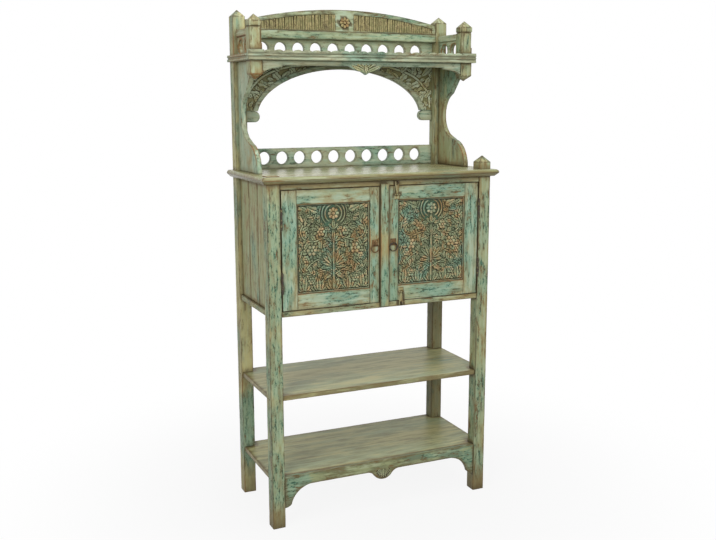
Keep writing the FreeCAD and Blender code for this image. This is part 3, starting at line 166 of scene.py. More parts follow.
def worn_paint(name, coat, second, aged, bare=TAN, ageing=0.75, rubs=0.5, wear=0.5, grime_and_shade=0.8,
               rough=0.5, length=1.0, lines=0.8, chipped=1.0, wash=0.5, shine=0.22, soil=0.06):
    """Chalky paint over an older coat, rubbed through in streaks, bare at edges, with dirt and painted
    shade in corners.
    """
    # The grime weight sets how strongly dirt and painted shade darken the paint.
    f = Finish(name)
    # What the points of a board store; edge is the distance to a sharp edge in millimetres.
    grain = f.stretched(f.attribute("grain", "Vector"), (1 / length, 1, 1))
    edge = f.attribute("edge", "Fac")
    shade = f.attribute("shade", "Fac")
    touch = f.attribute("touch", "Fac")
    older = f.attribute("older", "Fac")
    # Noise, from broad clouds to single flakes.
    broad = f.noise(grain, (3, 9, 9), 3)
    cloud = f.noise(grain, (16, 36, 36), 5, 0.65)
    bands = f.noise(grain, (6, 85, 85), 4)
    chips = f.noise(grain, (24, 130, 130), 4, 0.6)
    streak = f.noise(grain, (20, 330, 330), 3, 0.6)
    flakes = f.noise(grain, (110, 220, 220), 4, 0.68)
    rim = 1 - f.smooth(edge, 1.0, 16.0)
    near = 1 - f.smooth(edge, 0.0, 5.0)
    # The top coat in two tints, stained with age, with pale brush marks.
    colour = f.mix(f.smooth(broad * 0.6 + cloud * 0.5, 0.47, 0.63), coat, second)
    stain = f.smooth(cloud * 0.5 + bands * 0.4 + streak * 0.25 + rim * 0.07, 0.52, 0.66)
    colour = f.mix(stain * ageing, colour, aged)
    brushed = f.smooth(1 - bands * 0.5 - chips * 0.5, 0.51, 0.6)
    colour = f.mix(brushed * chipped * 0.3, colour, PALE)
    # The older coat, seen in patches and flecks.
    patch = f.smooth(broad * 0.8 + bands * 0.3 + cloud * 0.3 + older * 0.17,
                     0.8 - 0.14 * rubs, 0.88 - 0.14 * rubs)
    fleck = f.smooth(chips * 0.65 + flakes * 0.35, 0.5, 0.58)
    old = f.mix(f.smooth(flakes * 0.6 + chips * 0.4, 0.51, 0.6), TEAL, DEEP_TEAL)
    colour = f.mix(patch * wash, colour, AQUA)
    colour = f.mix(patch * fleck * chipped * 0.85, colour, old)
    # Scuffs, handled places and bare wood.
    scuffs = f.smooth(chips * 0.5 + flakes * 0.3 + cloud * 0.35, 0.61, 0.7)
    colour = f.mix(scuffs * chipped * 0.8, colour, f.mix(f.smooth(cloud, 0.5, 0.6), UMBER, RED_BROWN))
    colour = f.mix(touch * f.smooth(cloud * 0.6 + bands * 0.4, 0.38, 0.56) * 0.7, colour, KHAKI)
    worn = f.smooth(near * 0.5 + flakes * 0.4 + chips * 0.3 + cloud * 0.4 + touch * 0.45,
                    1.1 - 0.12 * wear, 1.18 - 0.12 * wear)
    wood = f.mix(f.smooth(streak * 0.5 + chips * 0.5, 0.42, 0.58), RED_BROWN, bare)
    colour = f.mix(worn * 0.85, colour, wood)
    # Dirt along the edges and in a thin film; where pieces meet, dirt together with painted shade.
    line = (1 - f.smooth(edge, 0.5, 4.4)) * f.smooth(chips * 0.5 + bands * 0.5, 0.4, 0.52)
    colour = f.mix(line * (1 - 0.7 * touch) * lines, colour, UMBER)
    film = f.smooth(cloud * 0.6 + bands * 0.5, 0.54, 0.7) * chipped * 0.4
    # The next two masks add the shade attribute, which is ambient occlusion, so they paint shade into the
    # colour together with dirt and stain from the noise and the rim.
    soil_and_shade = f.smooth(shade + cloud * 0.5 + chips * 0.2 + rim * soil - 0.35, 0.02, 0.22) * grime_and_shade
    colour = f.mix(f.math("MAXIMUM", film, soil_and_shade * 0.7), colour, EARTH)
    dirt_and_shade = f.smooth(shade + cloud * 0.4 - 0.2, 0.14, 0.6) * grime_and_shade
    colour = f.mix(dirt_and_shade, colour, UMBER)
    ridge = streak * 0.6 - worn * 0.5 - patch * fleck * 0.4 + flakes * 0.3
    return f.set(Base_Color=colour, Roughness=rough - 0.1 + 0.24 * flakes, Specular_IOR_Level=shine,
                 Normal=f.bump(ridge, 0.0008, 0.7))


def carved_paint(name, low, ground, middle, warm, high, accent, old=0.0, uneven=0.0, stain=RED_BROWN):
    """Carving rubbed back: dirt, painted shade and some older paint in the hollows, lighter colours on the
    high parts.
    """
    f = Finish(name)
    grain = f.attribute("grain", "Vector")
    rise = f.attribute("rise", "Fac")
    hollow = f.attribute("hollow", "Fac")
    shade = f.attribute("shade", "Fac")
    patch = f.noise(grain, (11, 11, 11), 3)
    cloud = f.noise(f.stretched(grain, (-1, 1, 1)), (14, 14, 14), 3)
    spots = f.noise(grain, (45, 45, 45), 3)
    fine = f.noise(grain, (240, 240, 240), 4)
    base = f.mix(f.smooth(patch * 0.7 + spots * 0.4, 0.5, 0.62) * old, ground, TEAL)
    body = f.mix(f.smooth(cloud * 0.6 + spots * 0.5, 0.52, 0.62), middle, warm)
    colour = f.mix(f.smooth(rise + fine * 0.3, 0.3, 0.62), base, body)
    colour = f.mix(f.smooth(patch, 0.52, 0.64) * f.smooth(rise, 0.1, 0.5) * 0.7, colour, accent)
    rubbed = f.smooth(spots * 0.7 + fine * 0.25 + rise * 0.25, 0.62, 0.76)
    top = f.mix(f.smooth(cloud * 0.5 + fine * 0.5, 0.48, 0.6), high, stain)
    colour = f.mix(rubbed * 0.8, colour, top)
    colour = f.mix(f.smooth(1 - cloud * 0.6 - spots * 0.4, 0.48, 0.58) * uneven, colour, MOSS)
    # Dirt and painted shade: the hollow, depth below the mean round a point, darkens hollows as occlusion
    # would, and the shade attribute adds painted shade along a panel's frame and at the top of the arch,
    # under the top shelf.
    dirt_and_shade = f.smooth(hollow + fine * 0.12 + shade * 0.6, 0.11, 0.38)
    colour = f.mix(dirt_and_shade * 0.94, colour, low)
    return f.set(Base_Color=colour, Roughness=0.48 + 0.25 * fine, Specular_IOR_Level=0.35,
                 Normal=f.bump(fine + spots * 0.4, 0.0005, 0.5))


def old_iron(name):
    """Forged iron with brown rust and traces of paint."""
    f = Finish(name)
    place = f.node("ShaderNodeTexCoord", {}, {}, "Object")
    coarse = f.noise(place, (90, 90, 90), 4)
    fine = f.noise(place, (420, 420, 420), 4, 0.65)
    rust = f.smooth(coarse * 0.6 + fine * 0.5, 0.46, 0.66)
    colour = f.mix(rust, IRON, f.mix(f.smooth(fine, 0.45, 0.6), UMBER, RUST))
    colour = f.mix(f.smooth(coarse * 0.7 + fine * 0.3, 0.53, 0.6) * 0.7, colour, OLIVE)
    return f.set(Base_Color=colour, Metallic=0.35 - 0.35 * rust, Roughness=0.56 + 0.3 * rust,
                 Normal=f.bump(fine + coarse, 0.0004, 0.6))


FINISHES = {
    "post_paint": worn_paint("post_paint", LEEK, SAGE, KHAKI, rubs=0.45, wear=0.6, wash=0.32),
    # The two rear posts' paints are lighter copies of the post paint, with paler colours and less dirt and
    # painted shade: painted light for how these posts are lit.
    "rear_left_lit_paint": worn_paint("rear_left_lit_paint", STRAW, LEEK, TAN, ageing=0.3, rubs=0.3, wear=0.6, grime_and_shade=0.3,
                             chipped=0.7),
    "rear_right_lit_paint": worn_paint("rear_right_lit_paint", LEEK, STRAW, KHAKI, ageing=0.5, rubs=0.4, grime_and_shade=0.4),
    "apron_paint": worn_paint("apron_paint", SAGE, LEEK, MOSS, ageing=0.6, rubs=0.7, wash=0.4, soil=0.12),
    "top_wood": worn_paint("top_wood", SAGE, KHAKI, OLIVE, rubs=0.2, rough=0.26, length=3.0, chipped=0.7,
                           shine=0.28, soil=0.18),
    # The shelves' paint, made paler than the top board's as painted light: it stands for light falling on
    # the two lower shelves.
    "lit_shelf_paint": worn_paint("lit_shelf_paint", STRAW, LEEK, OLIVE, ageing=0.5, rubs=-0.5, rough=0.38, length=2.0,
                            grime_and_shade=1.0, chipped=0.2, soil=0.17),
    "inside_wood": worn_paint("inside_wood", TAN, KHAKI, RED_BROWN, ageing=0.4, rubs=-1.0, wear=0.6),
    "carcass_paint": worn_paint("carcass_paint", SAGE, LEEK, KHAKI, rubs=0.5, soil=0.1),
    "door_paint": worn_paint("door_paint", MINT, SAGE, KHAKI, ageing=0.6, rubs=0.6, wear=0.5, lines=0.4),
    "hutch_paint": worn_paint("hutch_paint", MINT, PALE, KHAKI, ageing=0.35, rubs=0.7, lines=0.5,
                              grime_and_shade=0.25, chipped=0.75),
    "crest_paint": worn_paint("crest_paint", MINT, LEEK, OLIVE, ageing=0.5, rubs=0.6, wear=0.45,
                              grime_and_shade=0.7),
    "door_carving": carved_paint("door_carving", DARK, MOSS, LEEK, DUN, PEACH, AQUA, old=0.45,
                                 uneven=0.4),
    "arch_carving": carved_paint("arch_carving", UMBER, OLIVE, PALE, STRAW, PALE, MINT, old=0.1),
    "reed_paint": carved_paint("reed_paint", UMBER, UMBER, OLIVE, KHAKI, KHAKI, OLIVE, stain=UMBER),
    "leaf_paint": carved_paint("leaf_paint", UMBER, UMBER, LEEK, STRAW, PALE, SAGE, stain=OLIVE),
    "flower_paint": carved_paint("flower_paint", DARK, UMBER, KHAKI, TAN, KHAKI, OLIVE),
    "hasp_paint": worn_paint("hasp_paint", SAGE, OLIVE, KHAKI, bare=RUST, rubs=0.3, wear=0.9),
    "plate_paint": worn_paint("plate_paint", KHAKI, TAN, EARTH, bare=RUST, rubs=0.1, wear=0.9, lines=1.0),
    "ring_paint": worn_paint("ring_paint", OLIVE, KHAKI, EARTH, bare=RUST, rubs=0.1, wear=0.9),
    "old_iron": old_iron("old_iron"),
}

# Everything solid at rest, for the dirt and painted shade where pieces meet: ambient occlusion cast
# against these pieces.
corners, triangles = [], []
for thing in (frame["nodes"][node] for node in BODY_OF if SLOT_OF[node] != "old_iron"):
    start = len(corners)
    corners.extend(v.co.copy() for v in thing.data.vertices)
    triangles.extend([start + i for i in p.vertices] for p in thing.data.polygons)
solids = BVHTree.FromPolygons(corners, triangles)
REACH = 0.07
CREVICE = 0.008
OFF_FACE = 0.002
RAY_COUNT = 14
RAY_TURN = 2.4
RAYS = []
for number in range(RAY_COUNT):
    share = (number + 0.5) / RAY_COUNT
    RAYS.append((math.cos(RAY_TURN * number) * math.sqrt(share),
                 math.sin(RAY_TURN * number) * math.sqrt(share), math.sqrt(1 - share)))


def closeness(point, normal):
    """How far a spot is shut in by the pieces round it; 0 is open."""
    side = normal.orthogonal().normalized()
    up = normal.cross(side)
    start = point + normal * OFF_FACE
    shut = 0.0
    for a, b, c in RAYS:
        distance = solids.ray_cast(start, side * a + up * b + normal * c, REACH)[3]
        if distance is not None:
            # Painted shade: a broad share for pieces within REACH, and a strong one in narrow crevices
            # such as the gaps round the doors.
            shut += 0.7 * (1 - distance / REACH) + 0.8 * math.exp(-distance / CREVICE)
    return shut / RAY_COUNT


def keep(mesh, name, kind, values):
    """Stores one value or vector for each point of a mesh."""
    layer = mesh.attributes.new(name, kind, "POINT")
    field = "value" if kind == "FLOAT" else "vector"
    layer.data.foreach_set(field, np.asarray(values, np.float32).ravel())


def seed_of(name):
    """A whole number that belongs to a name and stays the same each run."""
    return sum(ord(letter) * (place + 3) for place, letter in enumerate(name)) % 977


def grain_of(points, along, name):
    """Places along and across the grain, shifted so that no two boards look alike."""
    order = {"X": (0, 1, 2), "Y": (1, 0, 2), "Z": (2, 0, 1)}[along]
    return np.asarray(points)[:, order] + np.array([0.37, 0.61, 0.83]) * seed_of(name)


def show(name, mesh, finish, slot, body, *nodes):
    """Puts a finished mesh in the scene on its body, in place of the CAD nodes that it stands for."""
    mesh.materials.clear()
    mesh.materials.append(FINISHES[finish])
    piece = bpy.data.objects.new(name, mesh)
    bpy.context.scene.collection.objects.link(piece)
    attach(piece, body)
    if nodes:
        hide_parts(*nodes)


def cut_grid(bm, low, high, spacing, margin):
    """Cuts a mesh into cells, with a narrow row along each side of its box."""
    for axis in range(3):
        run = high[axis] - low[axis] - 2 * margin
        if run < margin:
            continue
        count = max(1, round(run / spacing))
        normal = Vector((axis == 0, axis == 1, axis == 2))
        for index in range(count + 1):
            place = Vector(low)
            place[axis] += margin + run * index / count
            bmesh.ops.bisect_plane(bm, geom=bm.verts[:] + bm.edges[:] + bm.faces[:], dist=1e-6,
                                   plane_co=place, plane_no=normal)


# Places that hands, knocks and damp have worn most, each with how far it spreads.
RUBBED = [((-0.04, -0.19, 1.035), 0.1), ((0.037, -0.19, 1.03), 0.07), ((-0.426, -0.166, 1.31), 0.06),
          ((-0.427, -0.03, 1.645), 0.04), ((-0.43, 0.05, 1.753), 0.1), ((-0.43, 0.13, 1.753), 0.1),
          ((0.43, 0.05, 1.753), 0.05), ((0.43, 0.13, 1.753), 0.05), ((-0.43, -0.2, 1.29), 0.05),
          ((0.32, -0.185, 0.9), 0.05), ((-0.43, 0.19, 0.45), 0.06), ((-0.43, 0.19, 0.02), 0.08),
          ((0.43, -0.17, 0.02), 0.06), ((-0.43, -0.17, 0.02), 0.04), ((0.36, 0.2, 1.66), 0.07),
          ((0.427, 0.0, 1.56), 0.08), ((0.427, -0.02, 1.36), 0.06), ((-0.427, 0.02, 1.36), 0.08)]

# Places where the older coat of paint shows through.
OLD_COAT = [((-0.18, -0.19, 0.84), 0.14), ((-0.04, -0.19, 0.92), 0.13), ((-0.04, -0.19, 1.14), 0.1),
            ((-0.36, -0.19, 1.16), 0.13), ((0.22, -0.19, 0.85), 0.12), ((0.26, -0.19, 1.22), 0.15),
            ((0.36, -0.19, 1.16), 0.08), ((0.36, -0.19, 0.94), 0.08), ((0.03, -0.19, 1.15), 0.1),
            ((0.03, -0.19, 0.93), 0.08), ((-0.43, -0.19, 1.12), 0.17), ((-0.43, -0.19, 0.86), 0.11),
            ((-0.43, -0.19, 0.6), 0.13), ((-0.43, -0.19, 0.41), 0.1), ((-0.43, -0.19, 0.18), 0.15),
            ((0.43, -0.19, 1.12), 0.2), ((0.43, -0.19, 0.88), 0.1), ((0.42, -0.19, 0.42), 0.13),
            ((0.41, -0.19, 0.11), 0.08), ((0.43, -0.17, 1.36), 0.06), ((-0.43, 0.19, 0.3), 0.2),
            ((0.0, -0.05, 1.71), 0.12), ((0.43, 0.08, 1.6), 0.12), ((0.15, 0.2, 1.33), 0.14),
            ((0.36, 0.0, 0.5), 0.13)]

# Posts painted darker below a height, as painted shade where they stand under the shelves.
SHADED_BELOW = {"rear_right_post": 0.8}


def nearness(points, places):
    """How near each point is to any of the places, 0 to 1."""
    near = np.zeros(len(points))
    for place, spread in places:
        near = np.maximum(near, 1.6 - 1.6 * np.linalg.norm(points - np.array(place), axis=1) / spread)
    return np.clip(near, 0, 1)


# The worn line along a door's rails: half its width, and how far back it goes.
LIP_WIDTH, LIP_DEPTH = 0.008, 0.01


def handled(points):
    """How near each point is to a worn place, or to a line along the edges and ends of a door's rails."""
    near = nearness(points, RUBBED)
    for word in ("left", "right"):
        rail_low, rail_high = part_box(word + "_door_bottom_rail")
        sill = rail_high.z
        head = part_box(word + "_door_top_rail")[0].z
        middle, half = (rail_low.x + rail_high.x) / 2, (rail_high.x - rail_low.x) / 2
        beside = np.maximum(np.abs(points[:, 0] - middle) - half,
                            np.abs(points[:, 2] - (sill + head) / 2) - (head - sill) / 2)
        behind = np.maximum(0, points[:, 1] - rail_low.y)
        near = np.maximum(near, 0.8 - np.abs(beside) / LIP_WIDTH - behind / LIP_DEPTH)
    return np.clip(near, 0, 1)


# How boards are eased and knocked, in metres, with distances to an edge in millimetres.
MERGE = 2e-6
FLAT = math.radians(0.6)
SHARP = math.radians(28)
EDGE_ROW = 0.004
EDGE_STEP = 0.003
FAR = 40.0
KNOCK_WIDTH = 3.0
# Dirt and painted shade at the feet near the floor, and painted shade low on shaded posts: how much, and
# over what height it fades.
FOOT_DIRT_AND_SHADE, FOOT_FADE = 0.45, 0.07
TIDE_SHADE, TIDE_FADE = 0.6, 0.1


def eased(node, spacing, ease):
    """A copy of a node's mesh with eased edges, cut into cells, and the lines of its sharp edges."""
    bm = bmesh.new()
    bm.from_mesh(frame["nodes"][node].data)
    bmesh.ops.remove_doubles(bm, verts=bm.verts, dist=MERGE)
    bmesh.ops.dissolve_limit(bm, angle_limit=FLAT, verts=bm.verts, edges=bm.edges)
    sharp = [e for e in bm.edges if len(e.link_faces) == 2 and e.is_convex
             and e.calc_face_angle(0.0) > SHARP]
    lines = [(e.verts[0].co.copy(), e.verts[1].co.copy()) for e in sharp]
    bmesh.ops.bevel(bm, geom=sharp, offset=ease, offset_type="OFFSET", segments=2, profile=0.5,
                    affect="EDGES", clamp_overlap=True)
    low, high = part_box(node)
    cut_grid(bm, low, high, spacing, EDGE_ROW)
    bm.normal_update()
    return bm, lines


def edge_finder(lines):
    """A search tree of spots along the sharp edges."""
    spots = []
    for first, last in lines:
        count = max(1, math.ceil((last - first).length / EDGE_STEP))
        spots.extend(first.lerp(last, i / count) for i in range(count + 1))
    tree = kdtree.KDTree(len(spots))
    for number, spot in enumerate(spots):
        tree.insert(spot, number)
    tree.balance()
    return tree


def dressed(node, along, spacing=0.014, ease=0.0012, dents=0.0006, finish=None):
    """A board as it has aged: edges eased and knocked, with its wear, dirt and painted shade stored on its
    points.
    """
    bm, lines = eased(node, spacing, ease)
    tree = edge_finder(lines)
    tide = SHADED_BELOW.get(node, 0.0)
    places = np.array([v.co for v in bm.verts])
    reach, shut = [], []
    for v in bm.verts:
        distance = tree.find(v.co)[2] / MM if lines else FAR
        reach.append(min(distance, FAR))
        # Near the floor dirt and painted shade; below a shaded post's height, painted shade only.
        foot = FOOT_DIRT_AND_SHADE * math.exp(-v.co.z / FOOT_FADE)
        soil = foot + TIDE_SHADE * min(1.0, max(0.0, tide - v.co.z) / TIDE_FADE)
        shut.append(closeness(v.co, v.normal) + soil)
        if distance < KNOCK_WIDTH:
            knock = noise.noise(v.co * 40) + 0.6 * noise.noise(v.co * 130)
            v.co -= v.normal * dents * max(0.0, knock + 0.1)
    mesh = bpy.data.meshes.new(node + "_worn")
    bm.to_mesh(mesh)
    bm.free()
    keep(mesh, "edge", "FLOAT", reach)
    keep(mesh, "shade", "FLOAT", shut)
    keep(mesh, "touch", "FLOAT", handled(places))
    keep(mesh, "older", "FLOAT", nearness(places, OLD_COAT))
    keep(mesh, "grain", "FLOAT_VECTOR", grain_of([v.co for v in mesh.vertices], along, node))
    mesh.polygons.foreach_set("use_smooth", [True] * len(mesh.polygons))
    mesh.set_sharp_from_angle(angle=math.radians(38))
    show(node + "_worn", mesh, finish or SLOT_OF[node], SLOT_OF[node], BODY_OF[node], node)


# Boards by the way that their grain runs, the ironwork, and finishes that differ from the slot's own.
UPRIGHT = ("front_left_post", "front_right_post", "rear_left_post", "rear_right_post",
           "left_gallery_post", "right_gallery_post", "left_side_planks", "right_side_planks",
           "back_planks", "left_side_bracket", "right_side_bracket", "left_door_hinge_stile",
           "left_door_meeting_stile", "right_door_hinge_stile", "right_door_meeting_stile",
           "meeting_strip")
LEVEL = ("bottom_shelf", "middle_shelf", "bottom_apron", "cupboard_floor", "inner_shelf", "top_rail",
         "door_stop", "top_board", "lower_gallery_rail", "arch_board", "top_shelf", "shelf_apron",
         "scalloped_strip", "rear_gallery_board", "crest_rail", "crest_board", "left_door_top_rail",
         "left_door_bottom_rail", "right_door_top_rail", "right_door_bottom_rail")
DEEP = ("inner_shelf_cleats", "left_gallery_side", "right_gallery_side", "left_gallery_rail",
        "right_gallery_rail")
FITTINGS = ("hinge_frame_leaves", "hinge_pins", "left_hinge_door_leaves", "right_hinge_door_leaves",
            "left_pull_plate", "right_pull_plate", "left_pull_ring", "right_pull_ring", "hasp_staples",
            "top_hasp_plate", "bottom_hasp_plate", "top_hasp_strap", "bottom_hasp_strap")
OTHER_FINISH = {"arch_board": "hutch_paint", "meeting_strip": "carcass_paint",
                "rear_left_post": "rear_left_lit_paint", "rear_right_post": "rear_right_lit_paint",
                "bottom_shelf": "lit_shelf_paint", "middle_shelf": "lit_shelf_paint", "top_board": "top_wood",
                "bottom_apron": "apron_paint", "top_shelf": "hutch_paint",
                "cupboard_floor": "post_paint", "right_side_bracket": "carcass_paint",
                "left_pull_plate": "plate_paint", "right_pull_plate": "plate_paint",
                "left_pull_ring": "ring_paint"}
for nodes, along in ((UPRIGHT, "Z"), (LEVEL, "X"), (DEEP, "Y")):
    for node in nodes:
        dressed(node, along, finish=OTHER_FINISH.get(node))
for node in FITTINGS:
    dressed(node, "Z", spacing=0.006, ease=0.0005, dents=0.0003, finish=OTHER_FINISH.get(node))


def smooth_line(points, steps=8):
    """Points along a smooth line through the given ones."""
    ends = [points[0]] + list(points) + [points[-1]]
    line = []
    for a, b, c, d in zip(ends, ends[1:], ends[2:], ends[3:]):
        for i in range(steps):
            t = i / steps
            line.append(tuple(0.5 * (2 * q + (r - p) * t + (2 * p - 5 * q + 4 * r - s) * t * t
                                     + (3 * q - p - 3 * r + s) * t ** 3)
                              for p, q, r, s in zip(a, b, c, d)))
    return line + [points[-1]]


class Carving:
    """A height map in millimetres, u to the right and v up, for stems, leaves, rings and flowers."""

    def __init__(self, left, right, low, high, step, top):
        self.u, self.v = np.meshgrid(np.linspace(left, right, round((right - left) / step) + 1),
                                     np.linspace(low, high, round((high - low) / step) + 1))
        self.rise = np.zeros_like(self.u)
        self.step = step
        self.top = top

    def lay(self, inside, height, moat=2.6):
        """Lays one form on those before it, with a cut round it; inside is how far in each point lies."""
        cut = (inside <= 0) & (inside > -moat)
        self.rise[cut] *= np.clip(-inside[cut] / moat, 0, 1) ** 2
        over = inside > 0
        round_off = np.sqrt(np.clip(inside[over] / 1.8, 0, 1))
        self.rise[over] = np.clip(height, 0, 1)[over] * self.top * round_off

    def polar(self, u, v):
        return np.hypot(self.u - u, self.v - v), np.arctan2(self.v - v, self.u - u)

    def stem(self, points, width, height=0.75):
        line = smooth_line(points)
        best = np.full(self.u.shape, 1e9)
        for (u, v), (u2, v2) in zip(line, line[1:]):
            run = max((u2 - u) ** 2 + (v2 - v) ** 2, 1e-9)
            share = np.clip(((self.u - u) * (u2 - u) + (self.v - v) * (v2 - v)) / run, 0, 1)
            best = np.minimum(best, np.hypot(self.u - u - share * (u2 - u), self.v - v - share * (v2 - v)))
        self.lay(width / 2 - best, np.full(self.u.shape, height))

    def leaf(self, u, v, angle, length, width, curl=0.0, lobes=0):
        """A pointed leaf with a sunk middle vein and side veins; curl bends it to its left."""
        cos, sin = math.cos(math.radians(angle)), math.sin(math.radians(angle))
        along = (self.u - u) * cos + (self.v - v) * sin
        share = np.clip(along / length, 0, 1)
        across = (self.v - v) * cos - (self.u - u) * sin - curl * length * share ** 2
        half = width / 2 * np.sin(np.pi * share ** 0.75) ** 0.7
        half = half * (1 - 0.2 * np.cos(2 * np.pi * lobes * share)) if lobes else half
        inside = np.where((along > 0) & (along < length), half - np.abs(across), -9.0)
        veins = 0.2 * np.cos(2 * np.pi * (along - np.abs(across)) / 7.0)
        self.lay(inside, 0.82 - 0.2 * share + veins - 0.5 * np.exp(-(across / 1.3) ** 2))

    def fan(self, u, v, angle, spread, count, length, width):
        """Leaves that open from one foot, the middle one last and longest."""
        for place in sorted(range(count), key=lambda i: -abs(i - (count - 1) / 2)):
            turn = place / (count - 1) - 0.5
            self.leaf(u, v, angle + spread * turn, length * (1 - 0.4 * abs(turn)), width, -0.25 * turn)

    def ring(self, u, v, radius, width, first=-180, last=180):
        distance, angle = self.polar(u, v)
        turned = (np.degrees(angle) - first) % 360
        inside = np.where(turned <= last - first, width / 2 - np.abs(distance - radius), -9.0)
        self.lay(inside, np.full(self.u.shape, 0.85), 1.8)

    def flower(self, u, v, radius, petals):
        distance, angle = self.polar(u, v)
        lobe = np.abs(np.cos(petals * angle / 2))
        rim = radius * (0.68 + 0.32 * np.sqrt(lobe))
        cup = 0.7 + 0.3 * np.clip(distance / rim, 0, 1)
        self.lay(rim - distance, (0.2 + 0.75 * np.sqrt(lobe)) * cup)
        self.lay(radius * 0.3 - distance, np.ones(self.u.shape), 1.6)

    def spray(self, points, width, length, count, side=0):
        """A stem with leaves along it, on both sides or on one."""
        line = smooth_line(points)
        for number in range(count):
            place = int((number + 0.6) / count * (len(line) - 2))
            (u, v), (u2, v2) = line[place], line[place + 1]
            way = math.degrees(math.atan2(v2 - v, u2 - u))
            hand = side or (1 if number % 2 else -1)
            self.leaf(u, v, way + 52 * hand, length, length * 0.5, 0.22 * hand, 2)
        self.stem(points, width)

    def fill(self, length, seed):
        """Leaves wherever the ground is still bare."""
        draw = np.random.default_rng(seed)
        reach = max(1, round(length * 0.27 / self.step))
        rows, columns = self.rise.shape
        for row in range(reach, rows - reach, max(1, reach // 2)):
            for column in range(reach, columns - reach, max(1, reach // 2)):
                way = draw.uniform(0, 2 * math.pi)
                near = self.rise[row - reach:row + reach, column - reach:column + reach]
                if near.max() < 0.1 * self.top:
                    u = self.u[row, column] - math.cos(way) * length / 2
                    v = self.v[row, column] - math.sin(way) * length / 2
                    self.leaf(u, v, math.degrees(way), length, length * 0.5, 0.12)

    def mirror(self):
        """Makes the left half like the right one."""
        half = self.rise.shape[1] // 2
        self.rise[:, :half] = self.rise[:, ::-1][:, :half]

    def hollows(self, reach):
        """How far each point lies below the mean round it, as a share of the full relief."""
        size = 2 * max(1, round(reach / self.step)) + 1
        mean = np.pad(self.rise, size // 2, mode="edge")
        for axis in (0, 1):
            total = np.cumsum(np.insert(mean, 0, 0, axis=axis), axis=axis)
            ends = np.arange(mean.shape[axis] - size + 1)
            mean = (np.take(total, ends + size, axis=axis) - np.take(total, ends, axis=axis)) / size
        return np.clip((mean - self.rise) / self.top, 0, 1)


HOLLOW_REACH = 5


def relief(name, carving, spot, back, inside, shade, finish, node, replaced):
    """A closed mesh from a carving: its face, walls round its outline and a flat back."""
    shape = carving.u.shape
    kept = inside[:-1, :-1] & inside[1:, :-1] & inside[:-1, 1:] & inside[1:, 1:]
    numbers = np.arange(shape[0] * shape[1]).reshape(shape)
    face = np.stack([numbers[:-1, :-1], numbers[:-1, 1:], numbers[1:, 1:], numbers[1:, :-1]], -1)[kept]
    first = face.ravel()
    second = np.roll(face, -1, axis=1).ravel()
    total = numbers.size
    rim = ~np.isin(first * total + second, second * total + first)
    first, second = first[rim], second[rim]
    walls = np.stack([second, first, first + total, second + total], -1)
    faces = np.concatenate([face, face[:, ::-1] + total, walls])
    front = spot(carving.u, carving.v, carving.rise)
    rear = spot(carving.u, carving.v, np.full(shape, -back))
    points = np.concatenate([front.reshape(-1, 3), rear.reshape(-1, 3)]) * MM
    used, faces = np.unique(faces, return_inverse=True)
    mesh = bpy.data.meshes.new(name)
    mesh.from_pydata(points[used].tolist(), [], faces.reshape(-1, 4).tolist())
    for word, values, rest in (("rise", carving.rise / carving.top, 0.6),
                               ("hollow", carving.hollows(HOLLOW_REACH), 0.0), ("shade", shade, 0.05)):
        both = np.concatenate([np.broadcast_to(values, shape).ravel(), np.full(total, rest)])
        keep(mesh, word, "FLOAT", both[used])
    keep(mesh, "grain", "FLOAT_VECTOR", grain_of(points[used], "Z", name))
    mesh.polygons.foreach_set("use_smooth", [True] * len(mesh.polygons))
    mesh.set_sharp_from_angle(angle=math.radians(60))
    show(name, mesh, finish, SLOT_OF[node], BODY_OF[node], *replaced)


def face_depth(node, across, up):
    """How far back a node's front face lies at each point of a grid, in millimetres; endless beside it."""
    data = frame["nodes"][node].data
    tree = BVHTree.FromPolygons([v.co for v in data.vertices], [p.vertices for p in data.polygons])
    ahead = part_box(node)[0].y - 10 * MM
    hits = [tree.ray_cast(Vector((x * MM, ahead, z * MM)), Vector((0, 1, 0)))[0]
            for x, z in zip(across.ravel(), up.ravel())]
    return np.array([np.inf if hit is None else hit.y / MM for hit in hits]).reshape(across.shape)


def facing_front(middle, ground):
    """Puts a carving's u, v and height on a board that faces the front."""
    return lambda u, v, h: np.stack([middle + u, ground - h, v], -1)


PANEL_GAP = 0.05
PANEL_SHY = 0.8
BACK_THICK = 1.0
BACK_LAP = 0.2


